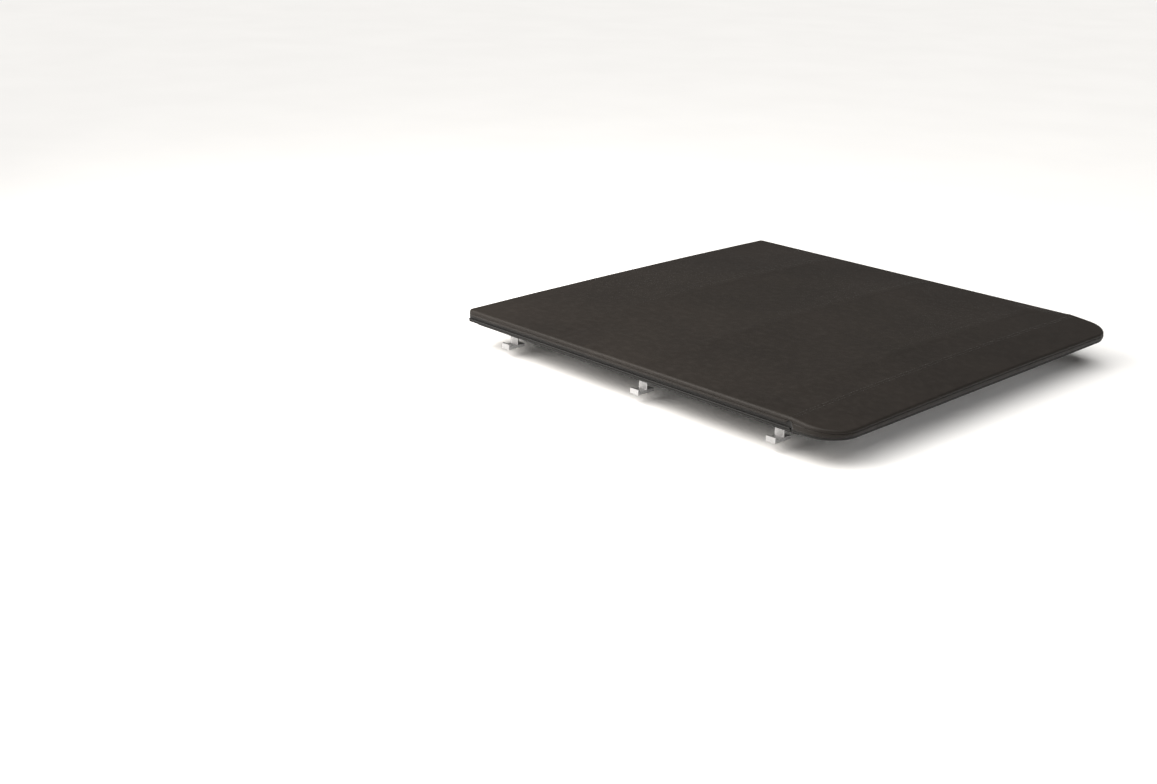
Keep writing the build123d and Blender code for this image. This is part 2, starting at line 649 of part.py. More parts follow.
# ---- bows: flattened aluminium tubes, closed by end plugs ---------------------------
PLUG_OUTER = 754.0
PLUG_INSERT = 20.0
PLUG_BOTTOM = SHELF_BOTTOM + RAIL_WALL + SEAT
PLUG_DROP = 1.0           # end plug's top below the bow's
PLUG_ROUND = 3.0
INSERT_WIDTH = BOW_WIDTH - 2 * BOW_WALL - 8.0
INSERT_HEIGHT = BOW_DEPTH - 2 * BOW_WALL - 4.0
for name, y in bow_places.items():
    crown = min(crown_at(y + BOW_WIDTH / 2), crown_at(y - BOW_WIDTH / 2))
    top = EDGE_TOP - SHEET - SEAT
    end = rise(BOW_HALF, FLAT_EDGE, crown)
    with BuildPart() as bow:
        for drop, width in ((0, BOW_WIDTH), (BOW_WALL, BOW_WIDTH - 2 * BOW_WALL)):
            with BuildSketch(across(y + width / 2)):
                with BuildLine():
                    high = top - drop
                    low = top - BOW_DEPTH + drop
                    ThreePointArc(
                        (BOW_HALF, high + end), (0, high + crown), (-BOW_HALF, high + end)
                    )
                    ThreePointArc(
                        (BOW_HALF, low + end), (0, low + crown), (-BOW_HALF, low + end)
                    )
                    Line((BOW_HALF, high + end), (BOW_HALF, low + end))
                    Line((-BOW_HALF, high + end), (-BOW_HALF, low + end))
                make_face()
            extrude(amount=width, mode=Mode.SUBTRACT if drop else Mode.ADD)
            if not drop:
                rims = bow.edges().filter_by(GeomType.CIRCLE)
                fillet(rims, radius=BOW_EDGE)
    save(bow, name)
    plug_top = top + end - PLUG_DROP
    with BuildPart() as plugs:
        for side in sides.values():
            with BuildSketch(along(side * BOW_HALF)):
                with Locations((y, (plug_top + PLUG_BOTTOM) / 2)):
                    RectangleRounded(BOW_WIDTH, plug_top - PLUG_BOTTOM, PLUG_ROUND)
            extrude(amount=side * (PLUG_OUTER - BOW_HALF))
            with BuildSketch(along(side * BOW_HALF)):
                with Locations((y, top + end - BOW_DEPTH / 2)):
                    Rectangle(INSERT_WIDTH, INSERT_HEIGHT)
            extrude(amount=-side * PLUG_INSERT)
    save(plugs, f"{name}_end_plugs")

# ---- tail latches: housing, sliding bolt with finger tab, screws --------------------
HOUSING_BOTTOM = 5.0
HOUSING_ROUND = 4.0
LATCH_CHAMFER = 2.0
TAB_BACK = 630.0
TAB_WIDTH = 12.0
TAB_GRIP = 3.0
TAB_BOTTOM = 1.0
GRIP_LENGTH = 16.0
GRIP_WIDTH = 8.0
GRIP_ROUND = 2.0
LATCH_HEAD_RADIUS = 4.5
LATCH_HEAD_HEIGHT = 2.5
screw_parts = []
for name, side in sides.items():
    middle = (HOUSING_BACK + HOUSING_TIP) / 2
    slot_front = TAB_BACK + TAB_WIDTH + LATCH_TRAVEL + LATCH_PLAY
    slot_length = slot_front - TAB_BACK + LATCH_PLAY
    with BuildPart() as housing:
        with BuildSketch(Plane.XY.offset(HOUSING_BOTTOM)):
            with Locations((side * middle, LATCH_Y)):
                RectangleRounded(HOUSING_TIP - HOUSING_BACK, HOUSING_WIDTH, HOUSING_ROUND)
        extrude(amount=PAD_BOTTOM - HOUSING_BOTTOM)
        with BuildSketch(along(side * (HOUSING_BACK - 1))):
            with Locations((LATCH_Y, (LATCH_LOW + LATCH_HIGH) / 2)):
                Rectangle(
                    LATCH_WIDTH + 2 * LATCH_PLAY, LATCH_HIGH - LATCH_LOW + 2 * LATCH_PLAY
                )
        extrude(amount=side * (HOUSING_TIP - HOUSING_BACK + 2), mode=Mode.SUBTRACT)
        with BuildSketch(Plane.XY.offset(HOUSING_BOTTOM - 1)):
            with Locations((side * (slot_front - slot_length / 2), LATCH_Y)):
                Rectangle(slot_length, TAB_WIDTH / 2 + 2 * LATCH_PLAY)
        extrude(amount=LATCH_LOW - HOUSING_BOTTOM + 1, mode=Mode.SUBTRACT)
        with BuildSketch(Plane.XY.offset(HOUSING_BOTTOM - 1)):
            with Locations([(side * x, y) for x, y in latch_screws_at]):
                Circle(SCREW_HOLE)
        extrude(amount=PAD_BOTTOM - HOUSING_BOTTOM + 2, mode=Mode.SUBTRACT)
    save(housing, f"{name}_latch_housing")
    with BuildPart() as slider:
        with BuildSketch(along(side * LATCH_BACK)):
            with Locations((LATCH_Y, (LATCH_LOW + LATCH_HIGH) / 2)):
                Rectangle(LATCH_WIDTH, LATCH_HIGH - LATCH_LOW)
        extrude(amount=side * (LATCH_TIP - LATCH_BACK))
        tip = slider.faces().sort_by(Axis.X)[-1 if side > 0 else 0]
        chamfer(tip.edges(), length=LATCH_CHAMFER)
        tab_middle = side * (TAB_BACK + TAB_WIDTH / 2)
        with BuildSketch(Plane.XY.offset(LATCH_LOW)):
            with Locations((tab_middle, LATCH_Y)):
                Rectangle(TAB_WIDTH, TAB_WIDTH / 2)
        extrude(amount=TAB_BOTTOM - LATCH_LOW)
        with BuildSketch(Plane.XY.offset(TAB_BOTTOM)):
            with Locations((tab_middle, LATCH_Y)):
                RectangleRounded(GRIP_LENGTH, GRIP_WIDTH, GRIP_ROUND)
        extrude(amount=TAB_GRIP)
    save(slider, f"{name}_latch_bolt")
    for x, y in latch_screws_at:
        start = (side * x, y, HOUSING_BOTTOM)
        length = SCREW_TOP - 2 - HOUSING_BOTTOM
        screw_parts.append(
            screw(start, (0, 0, 1), length, LATCH_HEAD_RADIUS, LATCH_HEAD_HEIGHT)
        )
with BuildPart() as latch_screws:
    for piece in screw_parts:
        add(piece)
save(latch_screws, "latch_screws")

# ---- storage straps and their buckles, stowed under the front section ---------------
STRAP_X = 450.0
STRAP_WIDTH = 25.0
STRAP_THICK = 1.6
STRAP_FRONT = 769.0
STRAP_REAR = 590.0
STRAP_GAP = 1.5
BUCKLE_LENGTH = 46.0
BUCKLE_WIDTH = 36.0
BUCKLE_THICK = 9.0
BUCKLE_ROUND = 4.0
BUCKLE_BAR = 10.0
BUCKLE_SLOT = 18.0
BUCKLE_SLOT_WIDTH = 5.0
STRAP_DROP = 20.0         # length of the strap's tail down the header


def underside(y):
    """Height of the sheet's underside above a strap at y."""
    edge = STRAP_X + BUCKLE_WIDTH / 2
    return EDGE_TOP - SHEET + rise(edge, FLAT_EDGE, crown_at(y))


slope_front = underside(STRAP_FRONT) - STRAP_GAP
slope_rear = underside(STRAP_REAR) - STRAP_GAP
for name, side in sides.items():
    with BuildPart() as strap:
        with BuildSketch(along(side * STRAP_X - STRAP_WIDTH / 2)):
            with BuildLine():
                Polyline(
                    (STRAP_FRONT, slope_front),
                    (STRAP_REAR, slope_rear),
                    (STRAP_REAR, slope_rear - STRAP_THICK),
                    (STRAP_FRONT - STRAP_THICK, slope_front - STRAP_THICK),
                    (STRAP_FRONT - STRAP_THICK, slope_front - STRAP_DROP),
                    (STRAP_FRONT, slope_front - STRAP_DROP),
                    close=True,
                )
            make_face()
        extrude(amount=STRAP_WIDTH)
    save(strap, f"{name}_storage_strap")
    with BuildPart() as buckle:
        with BuildSketch(along(side * STRAP_X - BUCKLE_WIDTH / 2)):
            with BuildLine():
                run = STRAP_FRONT - STRAP_THICK - STRAP_REAR
                slope = (slope_front - slope_rear) / run
                rear_top = slope_rear - STRAP_THICK
                front_top = rear_top + slope * BUCKLE_LENGTH
                Polyline(
                    (STRAP_REAR, rear_top),
                    (STRAP_REAR + BUCKLE_LENGTH, front_top),
                    (STRAP_REAR + BUCKLE_LENGTH, front_top - BUCKLE_THICK),
                    (STRAP_REAR, rear_top - BUCKLE_THICK),
                    close=True,
                )
            make_face()
        extrude(amount=BUCKLE_WIDTH)
        fillet(buckle.edges().filter_by(Axis.Z), radius=BUCKLE_ROUND)
        with BuildSketch(Plane.XY):
            with Locations((side * STRAP_X, STRAP_REAR + BUCKLE_LENGTH / 2)):
                with GridLocations(BUCKLE_WIDTH - BUCKLE_BAR, 0, 2, 1):
                    SlotOverall(BUCKLE_SLOT, BUCKLE_SLOT_WIDTH, rotation=90)
        extrude(amount=EDGE_TOP * 2, mode=Mode.SUBTRACT)
    save(buckle, f"{name}_strap_buckle")
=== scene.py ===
import json
from math import cos, pi, radians, sin, sqrt

import bmesh
import bpy
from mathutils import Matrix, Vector, noise


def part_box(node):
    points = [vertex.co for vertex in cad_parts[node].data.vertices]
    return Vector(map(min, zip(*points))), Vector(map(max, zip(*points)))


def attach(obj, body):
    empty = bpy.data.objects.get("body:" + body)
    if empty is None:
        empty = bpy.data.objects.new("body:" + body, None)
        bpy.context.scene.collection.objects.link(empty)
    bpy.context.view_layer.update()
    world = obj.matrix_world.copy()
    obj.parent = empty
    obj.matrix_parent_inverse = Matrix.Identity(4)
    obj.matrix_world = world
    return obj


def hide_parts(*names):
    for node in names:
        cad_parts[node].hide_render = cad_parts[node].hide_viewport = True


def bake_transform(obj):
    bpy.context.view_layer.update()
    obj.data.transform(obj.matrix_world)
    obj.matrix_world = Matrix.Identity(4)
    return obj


# Looks of a soft roll-up tonneau cover, in metres, in the CAD model's frame:
# X is the truck's right, Y its front, Z up.
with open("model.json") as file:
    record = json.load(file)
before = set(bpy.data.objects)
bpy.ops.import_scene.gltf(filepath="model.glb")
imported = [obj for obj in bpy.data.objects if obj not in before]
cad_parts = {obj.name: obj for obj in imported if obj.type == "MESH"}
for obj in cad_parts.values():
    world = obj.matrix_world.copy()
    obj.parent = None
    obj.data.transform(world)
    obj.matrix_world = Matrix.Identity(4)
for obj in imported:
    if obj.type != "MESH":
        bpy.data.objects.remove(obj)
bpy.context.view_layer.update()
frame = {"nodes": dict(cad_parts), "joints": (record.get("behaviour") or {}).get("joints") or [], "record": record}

# ---- places that come from the frame ----
STRIPS = 8                # of the sheet that bend, one behind each fold
joints = {joint["name"]: joint for joint in frame["joints"]}
folds = [joints[f"fold_{number}"]["pos_m"][1] for number in range(1, STRIPS + 1)]
CREASE = joints["tail_fold"]["pos_m"][1]
panel_low, panel_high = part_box("sheet_panel_2")
HALF = panel_high.x
HEM_LOW = panel_low.z
TOP = panel_high.z
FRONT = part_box("sheet_front")[1].y
REAR, SKIRT_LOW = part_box("sheet_tail")[0].yz
bows = {name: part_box(name) for name in ("front_bow", "middle_bow", "rear_bow")}
bow_panels = {"front_bow": "panel_1", "middle_bow": "panel_4", "rear_bow": "panel_8"}

# ---- the sheet's own sizes ----
CROWN = 0.020             # rise of the middle bow's section above the side edges
EDGE = TOP - CROWN        # top of the sheet along the side edges
REAR_EDGE = 0.030         # the same at the rear edge of the tail
SHOULDER = 0.010          # radius where the sheet turns down into its hem
FLAT = HALF - SHOULDER
THICK = 0.0014            # vinyl
BAND = 0.0024             # vinyl, hem and binding together
SAG = 0.0050              # how far the sheet hangs between two bows
SHORT_SAG = 0.0016        # the same between the rear bow and the crease
HELD_X = 0.775            # the rails hold the sheet's edges up from here outwards
RIB = 0.0009              # how much a bow and its sewn loops lift the sheet
RIB_END = 0.762           # where the bows' lift fades out, across
RIB_FADE = 0.03
RIDGE = 0.007             # half the length over which a bow's edge shows through
RIDGE_SAMPLES = 3         # samples each way in that length
PUFF = 0.0026             # the sheet stands up a little where the side hems end
PUFF_X, PUFF_Y = 0.735, -0.535
PUFF_REACH_X, PUFF_REACH_Y = 0.062, 0.15
CREASE_CALM = 0.06        # puffs and ripples fade out this near the crease
SLOW_RIPPLE = 0.00045     # long, low waves in the held cloth
QUICK_RIPPLE = 0.00040    # short waves near the side edges
RIPPLE_X = 0.55           # where the short waves begin, across
RIPPLE_RISE, RIPPLE_FALL = 0.22, 0.02
GATHER = 0.0019           # height of the gathers where the side hems end
GATHER_X = 0.788
GATHER_AHEAD = 0.014      # how far ahead of the crease they lie
GATHER_REACH_X, GATHER_REACH_Y = 0.016, 0.012
GATHER_PITCH = 0.0075
GATHER_SLANT = 0.30


def smooth(share):
    """Eases from 0 to 1, and stays there on both sides."""
    share = min(max(share, 0.0), 1.0)
    return share * share * (3 - 2 * share)


# Height of the sheet's middle above its edges: at the cab, over each bow, at the crease and at the rear.
FRONT_CROWN, CREASE_CROWN, REAR_CROWN = 0.0050, 0.0110, 0.0060
BOW_CROWNS = {"front_bow": 0.0197, "middle_bow": 0.0197, "rear_bow": 0.0172}
crowns = [(FRONT, FRONT_CROWN)]
for bow, height in BOW_CROWNS.items():
    crowns += [(bows[bow][1].y, height), (bows[bow][0].y, height)]
crowns += [(CREASE, CREASE_CROWN), (REAR, REAR_CROWN)]
# Spans between supports, with how far each hangs.
spans = [
    (bows["front_bow"][0].y, bows["middle_bow"][1].y, SAG),
    (bows["middle_bow"][0].y, bows["rear_bow"][1].y, SAG),
    (bows["rear_bow"][0].y, CREASE, SHORT_SAG),
]


def chord(y):
    """Crown at y if the sheet ran straight from each support to the next."""
    for (y0, c0), (y1, c1) in zip(crowns, crowns[1:]):
        if y >= y1:
            return c0 + (c1 - c0) * (y0 - y) / (y0 - y1)
    return crowns[-1][1]


def hang(y):
    """How far the sheet's middle hangs below that straight run."""
    for front, rear, depth in spans:
        if rear < y < front:
            share = (front - y) / (front - rear)
            return 4 * depth * share * (1 - share)
    return 0.0


def rib(y):
    """The lift over a bow."""
    return RIB if any(low.y < y < high.y for low, high in bows.values()) else 0.0


def eased(function, y):
    """function averaged over RIDGE each way, but never across the crease or past an end."""
    reach = min(RIDGE, abs(y - CREASE), abs(FRONT - y), abs(y - REAR))
    steps = range(-RIDGE_SAMPLES, RIDGE_SAMPLES + 1)
    return sum(function(y + reach * step / RIDGE_SAMPLES) for step in steps) / len(steps)


def pucker(x, y):
    """Small gathers where the hem is cut away ahead of the crease, 0 to 1."""
    away_x = (abs(x) - GATHER_X) / GATHER_REACH_X
    away_y = (y - CREASE - GATHER_AHEAD) / GATHER_REACH_Y
    spread = max(0.0, 1 - 0.5 * (away_x ** 2 + away_y ** 2)) ** 2
    wave = sin(2 * pi * (y - CREASE + GATHER_SLANT * (HALF - abs(x))) / GATHER_PITCH)
    return spread * (0.5 + 0.5 * wave)


def top(x, y):
    """Height of the sheet's upper face."""
    across = 1 - (x / FLAT) ** 2
    held = max(0.0, 1 - (abs(x) / HELD_X) ** 4)
    edge = EDGE
    if y < CREASE:
        edge += (REAR_EDGE - EDGE) * (CREASE - y) / (CREASE - REAR)
    fade = smooth(abs(y - CREASE) / CREASE_CALM)
    near_edge = smooth((abs(x) - RIPPLE_X) / RIPPLE_RISE) * smooth((FLAT - abs(x)) / RIPPLE_FALL)
    # Waves per metre across and along, each from a slice of the noise of its own.
    slow = noise.noise(Vector((4.1 * x, 5.3 * y, 0.7)))
    quick = noise.noise(Vector((9.0 * x, 21.0 * y, 3.1)))
    ripple = fade * (SLOW_RIPPLE * slow * held + QUICK_RIPPLE * quick * near_edge)
    ribs = eased(rib, y) * smooth((RIB_END - abs(x)) / RIB_FADE)
    puff = PUFF * fade * smooth(1 - abs(abs(x) - PUFF_X) / PUFF_REACH_X)
    puff *= smooth(1 - abs(y - PUFF_Y) / PUFF_REACH_Y)
    sway = eased(chord, y) * across - eased(hang, y) * held
    return edge + sway + ribs + puff + ripple + GATHER * pucker(x, y)


# ---- a small mesh builder ----
KIND_TOP, KIND_BACK, KIND_THREAD = 0, 1, 2
BACK_MARK = 0.01          # third part of a point's place on the cloth, on its inner face
STITCH_PITCH = 0.0070
STITCH_LENGTH = 0.0048
STITCH_RADIUS = 0.00050
BEAD_SIDES = 6
# Along a stitch: share of its half length, share of its radius, and lift in radii.
BEAD_PROFILE = ((-1, 0.35, -0.9), (-0.6, 0.95, 0.25), (0, 1, 0.45), (0.6, 0.95, 0.25), (1, 0.35, -0.9))


class Cloth:
    """Collects points with their place on the flat cloth, and faces with a material each."""

    def __init__(self):
        self.points = []
        self.flat = []
        self.faces = []
        self.kinds = []

    def point(self, x, y, z, flat=None):
        self.points.append((x, y, z))
        self.flat.append(flat if flat else (x, y, z))
        return len(self.points) - 1

    def face(self, corners, kind=0):
        self.faces.append(tuple(corners))
        self.kinds.append(kind)

    def strip(self, row, other, kind=0, closed=False):
        """Joins two lines of points with a strip of four-sided faces."""
        count = len(row)
        for k in range(count if closed else count - 1):
            after = (k + 1) % count
            self.face((row[k], row[after], other[after], other[k]), kind)

    def sweep(self, rings, kind=0):
        """Joins closed rings, each an outer run and its inner run backwards, and caps both ends."""
        for ring, other in zip(rings, rings[1:]):
            self.strip(ring, other, kind, closed=True)
        count = len(rings[0])
        for ring in (rings[0], rings[-1]):
            for k in range(count // 2 - 1):
                self.face((ring[k], ring[k + 1], ring[count - 2 - k], ring[count - 1 - k]), kind)

    def lathe(self, rings, kind=0):
        """Joins closed rings and closes both ends with a flat face."""
        for ring, other in zip(rings, rings[1:]):
            self.strip(ring, other, kind, closed=True)
        self.face(rings[0], kind)
        self.face(rings[-1], kind)

    def stitch(self, middle, along, out, length=STITCH_LENGTH, radius=STITCH_RADIUS, kind=KIND_THREAD):
        """A thread stitch: a bead along the cloth whose ends dip into it."""
        along, out = Vector(along).normalized(), Vector(out).normalized()
        side = along.cross(out)
        rings = []
        for share, width, lift in BEAD_PROFILE:
            centre = Vector(middle) + along * (share * length / 2) + out * (lift * radius)
            ring = []
            for k in range(BEAD_SIDES):
                turn = 2 * pi * k / BEAD_SIDES
                place = centre + (side * cos(turn) + out * sin(turn)) * radius * width
                ring.append(self.point(*place, flat=(share, turn, 0.0)))
            rings.append(ring)
        self.lathe(rings, kind)

    def build(self, name, materials, sharp=38.0):
        """Makes the object, with smooth faces but for edges sharper than sharp, in degrees."""
        mesh = bpy.data.meshes.new(name)
        mesh.from_pydata(self.points, [], self.faces)
        for material in materials:
            mesh.materials.append(material)
        mesh.polygons.foreach_set("material_index", self.kinds)
        mesh.polygons.foreach_set("use_smooth", [True] * len(self.faces))
        flat = mesh.attributes.new("cloth", "FLOAT_VECTOR", "POINT")
        flat.data.foreach_set("vector", [value for place in self.flat for value in place])
        work = bmesh.new()
        work.from_mesh(mesh)
        bmesh.ops.recalc_face_normals(work, faces=work.faces)
        work.to_mesh(mesh)
        work.free()
        mesh.set_sharp_from_angle(angle=radians(sharp))
        piece = bpy.data.objects.new(name, mesh)
        bpy.context.scene.collection.objects.link(piece)
        return piece


# ---- materials ----
class Finish:
    """One principled material, whose colour, roughness and bump come from nodes."""

    def __init__(self, name, place="Object", **constants):
        self.material = bpy.data.materials.new(name)
        self.material.use_nodes = True
        self.nodes = self.material.node_tree.nodes
        self.links = self.material.node_tree.links
        self.shader = self.nodes["Principled BSDF"]
        for socket, value in constants.items():
            self.shader.inputs[socket.replace("_", " ")].default_value = value
        if place == "cloth":
            source = self.nodes.new("ShaderNodeAttribute")
            source.attribute_name = "cloth"
            self.where = source.outputs["Vector"]
        else:
            source = self.nodes.new("ShaderNodeTexCoord")
            self.where = source.outputs[place]
        self.height = None

    def scaled(self, factors):
        """The place on the piece, scaled by one number or by three."""
        mapping = self.nodes.new("ShaderNodeMapping")
        mapping.inputs["Scale"].default_value = factors if isinstance(factors, tuple) else (factors,) * 3
        self.links.new(self.where, mapping.inputs["Vector"])
        return mapping.outputs["Vector"]

    def noise(self, factors, detail=3.0, roughness=0.5):
        node = self.nodes.new("ShaderNodeTexNoise")
        node.inputs["Scale"].default_value = 1.0
        node.inputs["Detail"].default_value = detail
        node.inputs["Roughness"].default_value = roughness
        self.links.new(self.scaled(factors), node.inputs["Vector"])
        return node.outputs["Fac"]

    def cells(self, factors, smoothness=0.35):
        node = self.nodes.new("ShaderNodeTexVoronoi")
        node.feature = "SMOOTH_F1"
        node.inputs["Scale"].default_value = 1.0
        node.inputs["Smoothness"].default_value = smoothness
        self.links.new(self.scaled(factors), node.inputs["Vector"])
        return node.outputs["Distance"]

    def waves(self, factor, axis):
        node = self.nodes.new("ShaderNodeTexWave")
        node.bands_direction = axis
        node.inputs["Scale"].default_value = 1.0
        node.inputs["Distortion"].default_value = 0.0
        self.links.new(self.scaled(factor), node.inputs["Vector"])
        return node.outputs["Fac"]

    def ramp(self, value, stops):
        node = self.nodes.new("ShaderNodeValToRGB")
        marks = node.color_ramp.elements
        while len(marks) < len(stops):
            marks.new(0.5)
        for mark, (at, colour) in zip(marks, stops):
            mark.position = at
            mark.color = (*colour, 1.0)
        self.links.new(value, node.inputs["Fac"])
        return node.outputs["Color"]

    def between(self, value, low, high, from_low=0.3, from_high=0.7):
        """Stretches value's range from_low to from_high over low to high."""
        node = self.nodes.new("ShaderNodeMapRange")
        node.inputs["From Min"].default_value = from_low
        node.inputs["From Max"].default_value = from_high
        node.inputs["To Min"].default_value = low
        node.inputs["To Max"].default_value = high
        self.links.new(value, node.inputs["Value"])
        return node.outputs["Result"]

    def math(self, operation, first, second):
        node = self.nodes.new("ShaderNodeMath")
        node.operation = operation
        for socket, value in zip(node.inputs, (first, second)):
            if isinstance(value, (int, float)):
                socket.default_value = value
            else:
                self.links.new(value, socket)
        return node.outputs["Value"]

    def mix(self, share, first, second):
        node = self.nodes.new("ShaderNodeMix")
        node.data_type = "RGBA"
        for name, value in (("Factor", share), ("A", first), ("B", second)):
            socket = next(s for s in node.inputs if s.name == name and s.enabled)
            if isinstance(value, tuple):
                socket.default_value = (*value, 1.0)
            else:
                self.links.new(value, socket)
        return next(s for s in node.outputs if s.enabled)

    def colour(self, value):
        self.links.new(value, self.shader.inputs["Base Color"])

    def rough(self, value):
        self.links.new(value, self.shader.inputs["Roughness"])

    def bump(self, value, distance, strength):
        """Adds a height to the ones before it."""
        node = self.nodes.new("ShaderNodeBump")
        node.inputs["Distance"].default_value = distance
        node.inputs["Strength"].default_value = strength
        self.links.new(value, node.inputs["Height"])
        if self.height:
            self.links.new(self.height, node.inputs["Normal"])
        self.height = node.outputs["Normal"]
        self.links.new(self.height, self.shader.inputs["Normal"])


def vinyl():
    """Black vinyl-coated cloth, satin, with a pebbled emboss, faint dust and slow unevenness."""
    f = Finish("embossed_vinyl", "cloth", Specular_IOR_Level=0.20, Sheen_Weight=0.03, Sheen_Roughness=0.5)
    pebbles = f.cells(620, 0.45)
    cast = f.noise((3.2, 2.4, 3.0), 4.0)
    dust = f.noise((42, 30, 30), 6.0, 0.65)
    tone = f.ramp(cast, [(0.30, (0.0072, 0.0052, 0.0038)), (0.72, (0.0120, 0.0090, 0.0068))])
    dusty = f.mix(f.between(dust, 0.0, 0.16, 0.48, 0.80), tone, (0.042, 0.034, 0.028))
    f.colour(f.mix(f.between(pebbles, 0.0, 0.35, 0.35, 0.75), dusty, (0.011, 0.009, 0.0075)))
    f.rough(f.between(dust, 0.46, 0.60))
    f.bump(f.noise((7, 9, 7), 2.0), 0.0030, 0.22)
    f.bump(f.noise(130, 3.0), 0.00030, 0.35)
    f.bump(pebbles, 0.00035, 0.75)
    return f.material


def vinyl_back():
    """The cloth backing, a fine plain weave."""
    f = Finish("vinyl_backing", "cloth", Specular_IOR_Level=0.2, Sheen_Weight=0.25)
    warp = f.waves(480, "X")
    weft = f.waves(480, "Y")
    weave = f.math("MULTIPLY", warp, weft)
    fuzz = f.noise(60, 4.0)
    f.colour(f.mix(weave, f.ramp(fuzz, [(0.3, (0.014, 0.013, 0.012)), (0.7, (0.022, 0.021, 0.020))]),
                   (0.045, 0.043, 0.041)))
    f.rough(f.between(fuzz, 0.78, 0.92))
    f.bump(weave, 0.00018, 0.7)
    return f.material


def thread():
    """Twisted black thread."""
    f = Finish("stitching_thread", "cloth", Specular_IOR_Level=0.35, Sheen_Weight=0.3)
    twist = f.waves(3.1, "DIAGONAL")
    f.colour(f.mix(twist, (0.008, 0.007, 0.006), (0.020, 0.018, 0.016)))
    f.rough(f.between(twist, 0.55, 0.75))
    f.bump(twist, 0.00012, 0.8)
    return f.material


def powder_coat():
    """Black powder coat with orange peel, on the rails and brackets."""
    f = Finish("powder_coat", Specular_IOR_Level=0.35)
    peel = f.noise(900, 2.0)
    wear = f.noise((26, 9, 26), 5.0, 0.6)
    f.colour(f.ramp(wear, [(0.35, (0.0080, 0.0078, 0.0078)), (0.75, (0.0150, 0.0145, 0.0140))]))
    f.rough(f.between(wear, 0.48, 0.66))
    f.bump(peel, 0.00010, 0.5)
    return f.material


def aluminium(name, base, grain, brushed):
    """Bare aluminium: brushed along X for the bows and the tail bar, tumbled for the castings."""
    f = Finish(name, Metallic=1.0)
    lines = f.noise(grain, 4.0, 0.6)
    stain = f.noise((11, 13, 12), 5.0, 0.62)
    dull = tuple(0.72 * value for value in base)
    stained = tuple(0.55 * value for value in base)
    drawn = f.ramp(lines, [(0.3, dull), (0.7, base)])
    f.colour(f.mix(f.between(stain, 0.0, 0.55, 0.42, 0.72), drawn, stained))
    if brushed:
        f.rough(f.between(stain, 0.26, 0.44))
        f.bump(lines, 0.00006, 0.5)
    else:
        f.rough(f.between(stain, 0.42, 0.62))
        f.bump(lines, 0.00030, 0.5)
    return f.material


def rubber():
    """Black sponge rubber of the seals, with fine pores and a dull bloom."""
    f = Finish("sponge_rubber", Specular_IOR_Level=0.3)
    pores = f.cells(1100, 0.2)
    bloom = f.noise((24, 12, 24), 4.0)
    f.colour(f.ramp(bloom, [(0.35, (0.0085, 0.0085, 0.0085)), (0.8, (0.019, 0.0185, 0.018))]))
    f.rough(f.between(bloom, 0.74, 0.92))
    f.bump(pores, 0.00025, 0.6)
    return f.material


def plastic():
    """Black moulded plastic, finely grained and a little scuffed."""
    f = Finish("moulded_plastic", Specular_IOR_Level=0.45)
    grain = f.cells(1400, 0.5)
    scuffs = f.noise(60, 5.0, 0.7)
    f.colour(f.ramp(scuffs, [(0.42, (0.0125, 0.0125, 0.0130)), (0.85, (0.030, 0.029, 0.029))]))
    f.rough(f.between(scuffs, 0.42, 0.60))
    f.bump(grain, 0.00012, 0.5)
    return f.material


def zinc():
    """Zinc-plated steel of the screws, bolts and latch parts."""
    f = Finish("zinc_plate", Metallic=1.0)
    crystals = f.cells(260, 0.1)
    bloom = f.noise(90, 5.0, 0.65)
    f.colour(f.mix(f.between(bloom, 0.0, 0.5, 0.45, 0.75),
                   f.ramp(crystals, [(0.1, (0.50, 0.50, 0.49)), (0.8, (0.66, 0.66, 0.63))]),
                   (0.40, 0.39, 0.34)))
    f.rough(f.between(bloom, 0.24, 0.46))
    f.bump(bloom, 0.00008, 0.4)
    return f.material


def webbing():
    """Woven nylon strap: ribs across the width, crossed by the warp."""
    f = Finish("woven_webbing", "cloth", Specular_IOR_Level=0.3, Sheen_Weight=0.35)
    ribs = f.waves(330, "Y")
    warp = f.waves(520, "X")
    weave = f.math("MAXIMUM", f.math("MULTIPLY", ribs, warp), f.math("MULTIPLY", ribs, 0.45))
    fuzz = f.noise(140, 3.0)
    f.colour(f.mix(weave, f.ramp(fuzz, [(0.3, (0.009, 0.009, 0.010)), (0.7, (0.015, 0.015, 0.016))]),
                   (0.048, 0.047, 0.048)))
    f.rough(f.between(fuzz, 0.66, 0.85))
    f.bump(weave, 0.00035, 0.8)
    return f.material


def hook_tape():
    """Hook tape along the rails: a field of small hooks."""
    f = Finish("hook_tape", Specular_IOR_Level=0.3, Sheen_Weight=0.4)
    hooks = f.cells(900, 0.05)
    base = f.noise(80, 3.0)
    f.colour(f.mix(hooks, (0.030, 0.030, 0.031), (0.010, 0.010, 0.010)))
    f.rough(f.between(base, 0.75, 0.95))
    f.bump(hooks, 0.0006, 0.9)
    return f.material


top_vinyl = vinyl()
backing = vinyl_back()
stitching = thread()
strap_weave = webbing()
finishes = {
    "rail_black": powder_coat(),
    "bow_aluminium": aluminium("bow_aluminium", (0.66, 0.66, 0.67), (6, 900, 900), True),
    "bar_aluminium": aluminium("bar_aluminium", (0.60, 0.60, 0.61), (5, 700, 700), True),
    "clamp_aluminium": aluminium("cast_aluminium", (0.55, 0.55, 0.555), 420, False),
    "seal_rubber": rubber(),
    "moulded_plastic": plastic(),
    "zinc_steel": zinc(),
    "hook_tape": hook_tape(),
}

